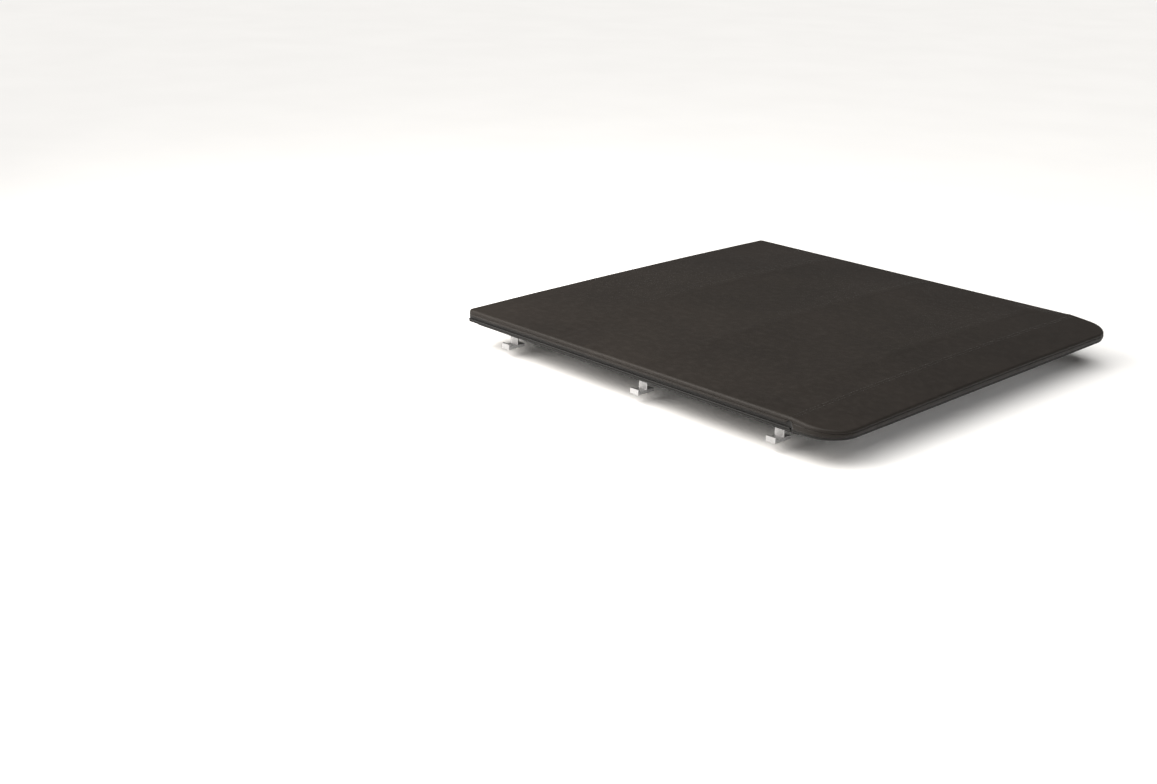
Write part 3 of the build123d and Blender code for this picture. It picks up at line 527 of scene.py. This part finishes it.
# ---- the sheet ----
cloth_materials = [top_vinyl, backing, stitching]
SHOULDER_Z = EDGE - SHOULDER
HEM_SHARES = (0.0, 0.05, 0.16, 0.40, 0.64, 0.74, 0.80, 0.85, 0.92, 1.0)   # rows up the hem
GROOVE = 0.80             # where up its height the hem is drawn in below the shoulder
GROOVE_DEPTH = 0.0013
GROOVE_REACH = 0.09       # half the groove's width, as a share of the hem's height
GROOVE_THINNING = 0.0008
HEM_ROUNDING = 0.0008     # of the hem's lower edge
HEM_TOP_THICK = THICK + 0.0004
SHOULDER_STEPS = 6
COLUMNS = 44
COLUMN_SPREAD = 1.40      # the higher, the closer the columns stand towards the sides
ROW_STEP = 0.013          # between rows of points where nothing needs them closer
SHORTEST_STEP = 0.0006    # a shorter last step is joined to the one before it
BULGE = 0.0007            # how far the doubled hem stands out
BULGE_RISE = 3.5          # how quickly it swells from its edges
STITCH_SINK = 0.97        # share of the bulge at which the stitches' middles lie
STITCH_UP = 0.0045        # their height above the hem's lower edge
CREASE_STITCHES = 0.0055  # how far ahead of the crease a row crosses the sheet
TAIL_STITCHES = 0.0065    # how far behind it another one does
SEAM_INSET = 0.004        # how far short of the shoulder a row across the sheet ends
HEM_END = CREASE + 0.016  # the side hems stop here, ahead of the crease
HEM_CUT_TOP = 0.0012      # what is left of it below the shoulder
HEM_CUT_RUN = 0.011       # length over which it is cut away
HEM_CUT_START = 0.004     # how far ahead of HEM_END the cut begins


def hem_low(y):
    """Lower edge of the side hem, which is cut away just ahead of the crease."""
    cut = smooth((HEM_END + HEM_CUT_START - y) / HEM_CUT_RUN)
    return HEM_LOW + (SHOULDER_Z - HEM_CUT_TOP - HEM_LOW) * cut


def hem_width(share):
    """How far the hem's outer face stands from the outer line, and its thickness, up its height."""
    if share == 1:
        return 0.0, HEM_TOP_THICK
    rounding = HEM_ROUNDING if share == 0 else 0.0
    padded = BULGE * min(1.0, BULGE_RISE * sqrt(share * (GROOVE - share))) if share < GROOVE else 0.0
    drawn_in = GROOVE_DEPTH * max(0.0, 1 - abs(share - GROOVE) / GROOVE_REACH) ** 1.5
    thinning = GROOVE_THINNING if drawn_in else 0.0
    return padded - rounding - drawn_in, BAND - 2 * rounding - thinning


def half_section(y):
    """The right half of the sheet's section at y: (outer point, inner point, cloth distance)."""
    low = hem_low(y)
    run = FLAT + SHOULDER * pi / 2
    half = []
    for share in HEM_SHARES:
        z = low + share * (SHOULDER_Z - low)
        out, width = hem_width(share)
        half.append(((HALF + out, z), (HALF + out - width, z), run + SHOULDER_Z - z))
    for step in range(1, SHOULDER_STEPS):
        turn = pi / 2 * step / SHOULDER_STEPS
        inner = SHOULDER - THICK
        outer = SHOULDER + GATHER * pucker(FLAT, y) * turn / (pi / 2)
        half.append((
            (FLAT + outer * cos(turn), SHOULDER_Z + outer * sin(turn)),
            (FLAT + inner * cos(turn), SHOULDER_Z + inner * sin(turn)),
            FLAT + SHOULDER * (pi / 2 - turn),
        ))
    return half


def column_places():
    """Places across the crown of the points in each row."""
    places = []
    for k in range(COLUMNS + 1):
        share = 2 * k / COLUMNS - 1
        places.append(FLAT * sin(COLUMN_SPREAD * share) / sin(COLUMN_SPREAD))
    return places


columns = column_places()


def section_ring(cloth, y):
    """Adds the whole section at y to cloth as one closed ring."""
    half = half_section(y)
    places = [((-xo, zo), (-xi, zi), -run) for (xo, zo), (xi, zi), run in half]
    for x in columns:
        z = top(x, y)
        places.append(((x, z), (x, z - THICK), x))
    places += reversed(half)
    outer = [cloth.point(x, y, z, (run, y, 0)) for (x, z), _, run in places]
    inner = [cloth.point(x, y, z, (run, y, BACK_MARK)) for _, (x, z), run in places]
    return outer + inner[::-1]


def rows_between(front, rear, zones):
    """Rows of points from front to rear, close together in each zone (start, end, spacing)."""
    rows = [front]
    while rows[-1] > rear:
        y = rows[-1]
        step = ROW_STEP
        for start, end, spacing in zones:
            if end - 1e-6 <= y <= start + 1e-6:
                step = min(step, spacing)
            elif y > start and y - step < start:
                step = y - start
        rows.append(y - step)
    rows[-1] = rear
    if len(rows) > 2 and rows[-2] - rear < SHORTEST_STEP:
        rows.pop(-2)
    return rows


def paint_back(cloth):
    """Gives the inner faces of the cloth the backing's material."""
    for number, corners in enumerate(cloth.faces):
        if cloth.kinds[number] == KIND_TOP and all(cloth.flat[c][2] > BACK_MARK / 2 for c in corners):
            cloth.kinds[number] = KIND_BACK


def hem_stitches(cloth, front, rear):
    """A row of stitches along both side hems."""
    count = int((front - rear) / STITCH_PITCH)
    for k in range(count):
        y = front - (k + 0.5) * (front - rear) / count
        if y < HEM_END + HEM_CUT_START:
            continue
        for side in (-1, 1):
            place = (side * (HALF + BULGE * STITCH_SINK), y, HEM_LOW + STITCH_UP)
            cloth.stitch(place, (0, 1, 0), (side, 0, 0))


def cross_stitches(cloth, y):
    """A row of stitches over the crown at y."""
    half = FLAT - SEAM_INSET
    near = 0.002
    count = int(2 * half / STITCH_PITCH)
    for k in range(count):
        x = -half + (k + 0.5) * 2 * half / count
        slope = (top(x + near, y) - top(x - near, y)) / (2 * near)
        tilt = (top(x, y + near) - top(x, y - near)) / (2 * near)
        cloth.stitch((x, y, top(x, y)), (1, 0, slope), (-slope, -tilt, 1))


# ---- fabric loops that hold the bows ----
BOW_DEPTH = 0.018         # of the bow's section
BOW_END_DROP = 0.0023     # how far below the sheet's edges the bow's top lies at its ends
LOOP_WIDTH = 0.070
LOOP_THICK = 0.0009
LOOP_GAP = 0.0004
LOOP_PLACES = (-0.60, -0.30, 0.0, 0.30, 0.60)
LOOP_CORNER = 0.0042
LOOP_CORNER_STEPS = 4
LOOP_STEPS = 6            # across the loop's width
LOOP_TUCK = 0.0002        # how far the loop's ends go into the sheet
TACK_INSET = 0.004        # of a loop's tacks from its side edge
TACK_DOWN = 0.005         # of the upper tack from the bow's top
TACK_PITCH = 0.006
TACK_LENGTH = 0.0042
TACK_RADIUS = 0.00045
KIND_TACK = 1             # the thread's place in a loop's materials


def bow_drop(bow_top, x):
    """How far the bow's crowned top has fallen at x."""
    return (bow_top - (EDGE - BOW_END_DROP)) * (x / FLAT) ** 2


def loop_path(half, high, low, offset):
    """Down one side of a bow, round two corners and up the other, offset from its skin."""
    path = [(-half - offset, high)]
    reach = LOOP_CORNER + offset
    for side, first in ((-1, pi), (1, 3 * pi / 2)):
        for step in range(LOOP_CORNER_STEPS + 1):
            turn = first + pi / 2 * step / LOOP_CORNER_STEPS
            path.append((side * (half - LOOP_CORNER) + reach * cos(turn),
                         low + LOOP_CORNER + reach * sin(turn)))
    path.append((half + offset, high))
    return path


def add_loop(cloth, low, high, place):
    """One loop round the bow whose box is low to high, with its middle at x = place."""
    middle = (low.y + high.y) / 2
    half = (high.y - low.y) / 2
    rings = []
    for step in range(LOOP_STEPS + 1):
        x = place + LOOP_WIDTH * (step / LOOP_STEPS - 0.5)
        bottom = high.z - bow_drop(high.z, x) - BOW_DEPTH
        lid = min(top(x, middle - half), top(x, middle + half)) - THICK + LOOP_TUCK
        outer = loop_path(half, lid, bottom, LOOP_GAP + LOOP_THICK)
        inner = loop_path(half, lid, bottom, LOOP_GAP)
        ring = [cloth.point(x, middle + y, z, (x, y - z, 0)) for y, z in outer]
        ring += [cloth.point(x, middle + y, z, (x, y - z, BACK_MARK)) for y, z in reversed(inner)]
        rings.append(ring)
    cloth.sweep(rings)
    for side in (-1, 1):
        y = middle + side * (half + LOOP_GAP + LOOP_THICK)
        for edge in (-1, 1):
            x = place + edge * (LOOP_WIDTH / 2 - TACK_INSET)
            for k in range(2):
                z = high.z - bow_drop(high.z, x) - TACK_DOWN - TACK_PITCH * k
                cloth.stitch((x, y, z), (0, 0, 1), (0, side, 0), TACK_LENGTH, TACK_RADIUS, KIND_TACK)


for bow, (low, high) in bows.items():
    cloth = Cloth()
    for place in LOOP_PLACES:
        add_loop(cloth, low, high, place)
    loops = cloth.build(f"{bow}_loops", [backing, stitching])
    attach(loops, bow_panels[bow])

# ---- the sheet's strips ----
ZONE = 0.012              # half the length over which a fold bends
SEAM = CREASE - 0.001     # where the sheet proper is sewn to the tail's cover
middles = [(a + b) / 2 for a, b in zip(folds, folds[1:] + [CREASE])]
fold_zones = [(fold + ZONE, fold - ZONE) for fold in folds]
# Next to a bow, the cloth bends beside it and not over it.
BESIDE_START, BESIDE_END = 0.0200, 0.0005
fold_zones[1] = (bows["front_bow"][0].y, bows["front_bow"][0].y - 2 * ZONE)
fold_zones[7] = (bows["rear_bow"][1].y + BESIDE_START, bows["rear_bow"][1].y + BESIDE_END)
CREASE_LEAD = 0.005
crease_zone = (CREASE + CREASE_LEAD, SEAM)
FOLD_ROWS = 0.0016        # between rows of points where a fold bends
FOLD_MARGIN = 0.002       # how far those rows go past the bend
TAIL_ROWS = 0.0014        # the same just behind the seam
TAIL_MARGIN = 0.014
CUT_ROWS = 0.0012         # where the side hems are cut away
CUT_MARGIN = 0.024
CREASE_ROWS = 0.0006      # over the crease
BOW_ROWS = 0.004          # over the bows' edges
BOW_OUT, BOW_IN = 0.012, 0.008
bow_zones = []
for low, high in bows.values():
    bow_zones.append((high.y + BOW_OUT, high.y - BOW_IN, BOW_ROWS))
    bow_zones.append((low.y + BOW_IN, low.y - BOW_OUT, BOW_ROWS))
ends = middles + [SEAM]
for number in range(1, STRIPS + 1):
    front, rear = middles[number - 1], ends[number]
    if number < STRIPS:
        start, end = fold_zones[number]
        zones = [(start + FOLD_MARGIN, end - FOLD_MARGIN, FOLD_ROWS)]
    else:
        start, end = crease_zone
        zones = [(start + CUT_MARGIN, start, CUT_ROWS), (start, end, CREASE_ROWS)]
    cloth = Cloth()
    cloth.sweep([section_ring(cloth, y) for y in rows_between(front, rear, zones + bow_zones)])
    paint_back(cloth)
    hem_stitches(cloth, front, rear)
    if number == STRIPS:
        cross_stitches(cloth, CREASE + CREASE_STITCHES)
    strip = cloth.build(f"sheet_strip_{number}", cloth_materials)
    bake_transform(strip)
    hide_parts(f"sheet_panel_{number}")

# ---- the sheet's front and rear ends ----
RIM_INSET = 0.0125        # where the shoulder's rows give way to the grid of the flat part
ARC_STEPS = 14            # round each corner
CORNER_REAR = (0.110, 0.110)   # plan radii of the rear corners, across and along
CORNER_FRONT = (0.014, 0.022)
LIP_SHRINK = 0.003        # how much smaller the shoulder is at the front and rear than at the sides
TAIL_SHRINK_TURN = 0.28   # share of the tail's corner over which it shrinks
SKIRT_CUT_TOP = 0.0020    # the tail's skirt is cut away beside the seam, as the hems are
SKIRT_CUT_RUN = 0.0105
SKIRT_CUT_START = 0.0125
CUT_TOLERANCE = 0.001     # stitches stop where the skirt is cut away by more than this


class End:
    """The sheet's front or rear end: open towards the next strip, and turned down all round otherwise.

    opening and far are its two ends in Y, and corner is its plan radii, across and along.
    shoulder_at(turn) is the shoulder's radius where turn is 0 on the sides and 1 on the far edge,
    and low_at(turn, y) is its lower edge. row_shares are the rows along the sides."""

    def __init__(self, opening, far, corner, shoulder_at, low_at, row_shares):
        self.opening = opening
        self.way = 1 if far > opening else -1
        self.length = abs(far - opening)
        self.across, self.along = corner
        self.shoulder_at = shoulder_at
        self.low_at = low_at
        self.row_shares = row_shares
        self.outlines = {}
        self.cloth = Cloth()

    def y(self, v):
        """Y at the distance v from the opening."""
        return self.opening + self.way * v

    def outline(self, inset):
        """(x, distance from the opening, share of the turn) along the left side, the far edge, and back."""
        key = round(inset, 7)
        if key in self.outlines:
            return self.outlines[key]
        side_far = self.length - self.along
        left = [(-(HALF - inset), share * side_far, 0.0) for share in self.row_shares]
        for step in range(1, ARC_STEPS):
            turn = pi / 2 * step / ARC_STEPS
            x = -(HALF - self.across) - (self.across - inset) * cos(turn)
            left.append((x, side_far + (self.along - inset) * sin(turn), step / ARC_STEPS))
        edge = []
        for k in range(COLUMNS + 1):
            share = 2 * k / COLUMNS - 1
            edge.append((share * (HALF - self.across), self.length - inset, 1.0))
        right = [(-x, v, turn) for x, v, turn in reversed(left)]
        self.outlines[key] = left + edge + right
        return self.outlines[key]

    def crown(self, x, y):
        """The sheet's height, level with its edge beyond the shoulder's start."""
        return top(min(max(x, -FLAT), FLAT), y)

    def hem_ring(self, share, depth):
        """One line round the hem; depth is 0 on the outer face and 1 on the inner one."""
        out, width = hem_width(share)
        ring = []
        places = zip(self.outline(0.0), self.outline(depth * width - out))
        for k, ((x_line, v_line, turn), (x, v, _)) in enumerate(places):
            radius = self.shoulder_at(turn)
            z_top = self.crown(x_line, self.y(v_line)) - radius
            low = self.low_at(turn, self.y(v_line))
            z = low + share * (z_top - low)
            ring.append(self.point(k, x, self.y(v), z, radius * (pi / 2 - 1) + z_top - z, depth))
        return ring

    def shoulder_ring(self, angle, depth):
        """One line round the shoulder, angle above level."""
        ring = []
        for k, (_, _, turn) in enumerate(self.outline(0.0)):
            radius = self.shoulder_at(turn)
            inner = radius - depth * THICK
            x, v, _ = self.outline(radius - inner * cos(angle))[k]
            z = self.crown(x, self.y(v)) - (radius - inner * sin(angle))
            ring.append(self.point(k, x, self.y(v), z, radius * (pi / 2 - angle) - radius, depth))
        return ring

    def rim_ring(self, depth):
        """The line where the shoulder ends and the grid begins."""
        ring = []
        for k, (x, v, _) in enumerate(self.outline(RIM_INSET)):
            z = self.crown(x, self.y(v)) - depth * THICK
            ring.append(self.point(k, x, self.y(v), z, -RIM_INSET, depth))
        return ring

    def point(self, k, x, y, z, run, depth):
        """Adds point k of a line that lies run beyond the outline on the flat cloth."""
        x_flat, v_flat, _ = self.outline(-run)[k]
        return self.cloth.point(x, y, z, (x_flat, self.y(v_flat), BACK_MARK * depth))

    def grid(self, rim, depth):
        """The columns of points over the flat part, inside the rim."""
        sides = len(self.row_shares)
        places = self.outline(RIM_INSET)
        columns = [rim[:sides]]
        for k in range(sides, len(rim) - sides):
            x, v_end, _ = places[k]
            column = []
            for share in self.row_shares[:-1]:
                y = self.y(share * v_end)
                z = self.crown(x, y) - depth * THICK
                column.append(self.cloth.point(x, y, z, (x, y, BACK_MARK * depth)))
            columns.append(column + [rim[k]])
        return columns + [rim[len(rim) - sides:][::-1]]

    def face(self, depth):
        """One whole face of the end. Gives its lower edge and the line round its open mouth."""
        rings = [self.hem_ring(share, depth) for share in HEM_SHARES]
        for step in range(1, SHOULDER_STEPS + 1):
            rings.append(self.shoulder_ring(pi / 2 * step / SHOULDER_STEPS, depth))
        rings.append(self.rim_ring(depth))
        columns = self.grid(rings[-1], depth)
        for lines in (rings, columns):
            for one, other in zip(lines, lines[1:]):
                self.cloth.strip(one, other)
        mouth = [ring[0] for ring in rings[:-1]]
        mouth += [column[0] for column in columns]
        mouth += [ring[-1] for ring in reversed(rings[:-1])]
        return rings[0], mouth

    def stitch_round(self):
        """Stitches at a steady pitch round the outside, just above the lower edge."""
        left = STITCH_PITCH / 2
        path = self.outline(-BULGE * STITCH_SINK)
        for (x0, v0, turn0), (x1, v1, turn1) in zip(path, path[1:]):
            start = Vector((x0, self.y(v0), 0))
            leg = Vector((x1, self.y(v1), 0)) - start
            along = leg.normalized()
            out = Vector((along.y, -along.x, 0)) * self.way
            while left < leg.length:
                place = start + along * left
                turn = turn0 + (turn1 - turn0) * left / leg.length
                low = self.low_at(turn, place.y)
                uncut = self.low_at(1.0, place.y) + CUT_TOLERANCE
                if low <= uncut:
                    place.z = low + STITCH_UP
                    self.cloth.stitch(place, along, out)
                left += STITCH_PITCH
            left -= leg.length

    def build(self, name):
        low_outer, mouth_outer = self.face(0)
        low_inner, mouth_inner = self.face(1)
        self.cloth.strip(low_outer, low_inner)
        self.cloth.strip(mouth_outer, mouth_inner)
        paint_back(self.cloth)
        self.stitch_round()
        return self.cloth.build(name, cloth_materials)


def even_shares(opening, far, corner, zone):
    """Shares of the side's length for the rows of an end, closer together in zone."""
    length = abs(far - opening) - corner[1]
    start, end, spacing = zone
    rows = rows_between(0.0, -length, [(-abs(start - opening), -abs(end - opening), spacing)])
    return [-row / length for row in rows]


def front_shoulder(turn):
    return SHOULDER - LIP_SHRINK * turn


def front_low(turn, y):
    return HEM_LOW


def tail_shoulder(turn):
    return SHOULDER - LIP_SHRINK * smooth(turn / TAIL_SHRINK_TURN)


def tail_low(turn, y):
    if turn > 0:
        return SKIRT_LOW
    cut = smooth((y - CREASE + SKIRT_CUT_START) / SKIRT_CUT_RUN)
    return SKIRT_LOW + (SHOULDER_Z - SKIRT_CUT_TOP - SKIRT_LOW) * cut


start, end = fold_zones[0]
shares = even_shares(middles[0], FRONT, CORNER_FRONT, (end - FOLD_MARGIN, start + FOLD_MARGIN, FOLD_ROWS))
front_end = End(middles[0], FRONT, CORNER_FRONT, front_shoulder, front_low, shares).build("sheet_front_end")
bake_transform(front_end)
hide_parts("sheet_front")

shares = even_shares(SEAM, REAR, CORNER_REAR, (SEAM, SEAM - TAIL_MARGIN, TAIL_ROWS))
tail = End(SEAM, REAR, CORNER_REAR, tail_shoulder, tail_low, shares)
cross_stitches(tail.cloth, CREASE - TAIL_STITCHES)
tail_cover = tail.build("sheet_tail_cover")
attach(tail_cover, "tail")
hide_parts("sheet_tail")

# ---- storage straps ----
STRAP_THICK = 0.0016
STRAP_EASE = 0.0008       # how far the strap stays below its CAD solid's top
STRAP_END = 0.0005        # its lower end's height above the solid's bottom
STRAP_HANG = 0.020        # height of the part that hangs down the header
STRAP_BEND = 0.0045       # radius where it turns back under the sheet
STRAP_BEND_RISE = 0.0055  # how far below the hanging part's top the bend begins
STRAP_BEND_STEPS = 5
STRAP_STEPS = 26
STRAP_SAG = 0.0006
STRAP_EDGES = (-1, -0.93, -0.6, -0.2, 0.2, 0.6, 0.93, 1)   # shares of half its width
SELVEDGE = 0.55           # thickness of the strap's edges, as a share


def strap_path(low, high):
    """(y, z) up the header, round the bend and back to the buckle."""
    front = high.y - STRAP_THICK / 2
    corner = low.z + STRAP_HANG - STRAP_BEND_RISE
    path = [(front, low.z + STRAP_END), (front, corner)]
    for step in range(1, STRAP_BEND_STEPS + 1):
        turn = pi / 2 * step / STRAP_BEND_STEPS
        path.append((front - STRAP_BEND * (1 - cos(turn)), corner + STRAP_BEND * sin(turn)))
    y_bend, z_bend = path[-1]
    rise = high.z - STRAP_EASE - STRAP_THICK / 2 - z_bend
    for step in range(1, STRAP_STEPS + 1):
        share = step / STRAP_STEPS
        path.append((y_bend + (low.y - y_bend) * share,
                     z_bend + rise * share - STRAP_SAG * sin(pi * share)))
    return path


def strap_ring(cloth, low, high, place, along, run):
    """The strap's section at place, run along it, as one closed ring."""
    y, z = place
    out = Vector((-along.y, along.x)) * STRAP_THICK / 2
    outer, inner = [], []
    for share in STRAP_EDGES:
        swell = SELVEDGE if abs(share) == 1 else 1.0
        x = (low.x + high.x) / 2 + share * (high.x - low.x) / 2
        outer.append(cloth.point(x, y - out.x * swell, z - out.y * swell, (x, run, 0)))
        inner.append(cloth.point(x, y + out.x * swell, z + out.y * swell, (x, run, 0)))
    return outer + inner[::-1]


for side in ("left", "right"):
    low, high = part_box(f"{side}_storage_strap")
    path = [Vector(place) for place in strap_path(low, high)]
    rings = []
    cloth = Cloth()
    run = 0.0
    for k, place in enumerate(path):
        behind, ahead = path[max(k - 1, 0)], path[min(k + 1, len(path) - 1)]
        if k:
            run += (place - behind).length
        rings.append(strap_ring(cloth, low, high, place, (ahead - behind).normalized(), run))
    cloth.sweep(rings)
    strap = cloth.build(f"{side}_strap_webbing", [strap_weave])
    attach(strap, "frame")
    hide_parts(f"{side}_storage_strap")

# ---- clamp bolts with their threads ----
BOLT_RADIUS = 0.0040
THREAD_PITCH = 0.00125
THREAD_DEPTH = 0.00065
THREAD_START = 0.004      # the thread deepens over this length from the washer
THREAD_TIP = 0.0012       # length of the tapered tip
TIP_TAPER = 0.9
TURN_STEPS = 20
ROWS_PER_PITCH = 4
WASHER_RADIUS = 0.0090
WASHER_THICK = 0.0030
WASHER_EDGE = 0.0004
WASHER_STEPS = 40
HEAD_RADIUS = 0.0075      # to the hexagon's corners
HEAD_HEIGHT = 0.0070
HEAD_STEPS = 24
SEAT_UP = 0.010           # the washer's upper face above the bolt's lowest point
# Down the head and into its dished top: inset from the hexagon, and height above the head's bottom.
HEAD_PROFILE = ((0.0, HEAD_HEIGHT), (0.0, 0.0011), (0.0004, 0.0004), (0.0012, 0.0),
                (0.0036, 0.0), (0.0042, 0.0006), (HEAD_RADIUS * 0.93, 0.0006))
HEAD_CHAMFER = 0.90 * HEAD_RADIUS + 0.0005   # radius to which its corners are cut round


def round_ring(cloth, z, count, radius_at):
    """A closed ring of count points at z, each at the radius for its turn."""
    ring = []
    for step in range(count):
        turn = 2 * pi * step / count
        radius = radius_at(turn)
        ring.append(cloth.point(radius * cos(turn), radius * sin(turn), z))
    return ring


def threaded_ring(cloth, z, height):
    """One section of the shank: the thread's cut goes once round it in each pitch."""
    depth = THREAD_DEPTH * min(1.0, z / THREAD_START)
    radius = BOLT_RADIUS - TIP_TAPER * max(0.0, z - height + THREAD_TIP)
    return round_ring(cloth, z, TURN_STEPS, lambda turn: radius - depth * thread_cut(turn, z))


def thread_cut(turn, z):
    """How deep the thread is cut at this place, 0 to 1."""
    phase = (z / THREAD_PITCH - turn / (2 * pi)) % 1.0
    return abs(2 * phase - 1)


def head_radius(turn, inset):
    """The hexagon, whose corners are cut round where inset isn't 0."""
    hexagon = HEAD_RADIUS * cos(pi / 6) / cos((turn % (pi / 3)) - pi / 6)
    return (min(hexagon, HEAD_CHAMFER) if inset else hexagon) - inset


def bolt_cloth(height):
    """A hex-head bolt with a cut thread: the washer's upper face at Z 0, its shank upwards."""
    cloth = Cloth()
    rows = int(height / THREAD_PITCH * ROWS_PER_PITCH)
    cloth.lathe([threaded_ring(cloth, height * row / rows, height) for row in range(rows + 1)])
    inner = BOLT_RADIUS * 0.9
    rim = WASHER_RADIUS - WASHER_EDGE
    washer = ((inner, 0.0), (rim, 0.0), (WASHER_RADIUS, -WASHER_EDGE),
              (WASHER_RADIUS, WASHER_EDGE - WASHER_THICK), (rim, -WASHER_THICK), (inner, -WASHER_THICK))
    cloth.lathe([round_ring(cloth, z, WASHER_STEPS, lambda turn: radius) for radius, z in washer])
    bottom = -HEAD_HEIGHT - WASHER_THICK
    cloth.lathe([round_ring(cloth, bottom + up, HEAD_STEPS, lambda turn: head_radius(turn, inset))
                 for inset, up in HEAD_PROFILE])
    return cloth


for side in ("left", "right"):
    for place in ("front", "middle", "rear"):
        name = f"{side}_{place}_clamp_bolt"
        low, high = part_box(name)
        seat = low.z + SEAT_UP
        bolt = bolt_cloth(high.z - seat).build(f"{name}_threaded", [finishes["zinc_steel"]], sharp=32)
        bolt.location = ((low.x + high.x) / 2, (low.y + high.y) / 2, seat)
        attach(bolt, f"{side}_{place}_bolt")
        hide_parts(name)

# ---- finishes on the CAD nodes ----
node_slots = {part["node"]: part["material_slot"] for part in frame["record"]["subparts"]}
for name, node in frame["nodes"].items():
    finish = finishes.get(node_slots[name])
    if node.hide_render or not finish:
        continue
    node.data.materials.clear()
    node.data.materials.append(finish)

# ---- floor, light and camera ----
FLOOR_Z = -0.094          # below the lowest jaw at its lowest
FLOOR_HALF = 40
floor_corners = [(x * FLOOR_HALF, y * FLOOR_HALF, FLOOR_Z) for x, y in ((-1, -1), (1, -1), (1, 1), (-1, 1))]
floor_mesh = bpy.data.meshes.new("floor")
floor_mesh.from_pydata(floor_corners, [], [(0, 1, 2, 3)])
floor = bpy.data.objects.new("floor", floor_mesh)
bpy.context.scene.collection.objects.link(floor)
paper = Finish("studio_floor", Specular_IOR_Level=0.1, Roughness=0.9)
paper.colour(paper.ramp(paper.noise(1.5, 3.0),
                        [(0.3, (0.84, 0.84, 0.835)), (0.7, (0.86, 0.86, 0.855))]))
# From below the floor is clear, and the fill lamp under it shines through, to show the underside.
clear = paper.nodes.new("ShaderNodeBsdfTransparent")
side_seen = paper.nodes.new("ShaderNodeNewGeometry")
lamp_ray = paper.nodes.new("ShaderNodeLightPath")
see_through = paper.math("MAXIMUM", side_seen.outputs["Backfacing"], lamp_ray.outputs["Is Shadow Ray"])
floor_mix = paper.nodes.new("ShaderNodeMixShader")
paper.links.new(see_through, floor_mix.inputs[0])
paper.links.new(paper.shader.outputs["BSDF"], floor_mix.inputs[1])
paper.links.new(clear.outputs["BSDF"], floor_mix.inputs[2])
paper.links.new(floor_mix.outputs["Shader"], paper.nodes["Material Output"].inputs["Surface"])
floor_mesh.materials.append(paper.material)

world = bpy.data.worlds.new("studio")
bpy.context.scene.world = world
world.use_nodes = True
# The backdrop looks as pale as the far floor, but lights the cover only a little.
air = world.node_tree
background = air.nodes["Background"]
background.inputs["Color"].default_value = (1.0, 0.95, 0.90, 1.0)
background.inputs["Strength"].default_value = 0.07
backdrop = air.nodes.new("ShaderNodeBackground")
backdrop.inputs["Color"].default_value = (0.895, 0.881, 0.857, 1.0)
ray = air.nodes.new("ShaderNodeLightPath")
either = air.nodes.new("ShaderNodeMixShader")
air.links.new(ray.outputs["Is Camera Ray"], either.inputs[0])
air.links.new(background.outputs[0], either.inputs[1])
air.links.new(backdrop.outputs[0], either.inputs[2])
air.links.new(either.outputs[0], air.nodes["World Output"].inputs["Surface"])


def lamp(kind, name, place, aim, power, colour, **settings):
    light = bpy.data.lights.new(name, kind)
    light.energy = power
    light.color = colour
    for setting, value in settings.items():
        setattr(light, setting, value)
    holder = bpy.data.objects.new(name, light)
    holder.location = place
    holder.rotation_euler = (Vector(aim) - Vector(place)).to_track_quat("-Z", "Y").to_euler()
    holder.visible_camera = False
    bpy.context.scene.collection.objects.link(holder)


lamp("SUN", "overhead", (-1.5, -0.6, 6.0), (0, 0, 0), 3.35, (1.0, 0.985, 0.965), angle=radians(75))
lamp("AREA", "front_left_softbox", (-2.5, 1.0, 1.9), (-0.78, -0.45, 0), 195, (1.0, 0.955, 0.905),
     shape="RECTANGLE", size=3.6, size_y=2.4)
lamp("AREA", "fill_from_below", (0.4, 0.3, -3.0), (0, 0, 0), 120, (1.0, 0.985, 0.965),
     shape="RECTANGLE", size=4.0, size_y=4.0)

camera_data = bpy.data.cameras.new("camera")
camera_data.sensor_width = 36.0
camera_data.lens = 48.12
camera = bpy.data.objects.new("camera", camera_data)
camera.location = (-4.166, -3.207, 1.584)
camera.rotation_euler = (radians(70.586), radians(-1.171), radians(-43.910))
camera_data.clip_end = 200
bpy.context.scene.collection.objects.link(camera)
bpy.context.scene.camera = camera
bpy.context.scene.view_settings.view_transform = "Standard"
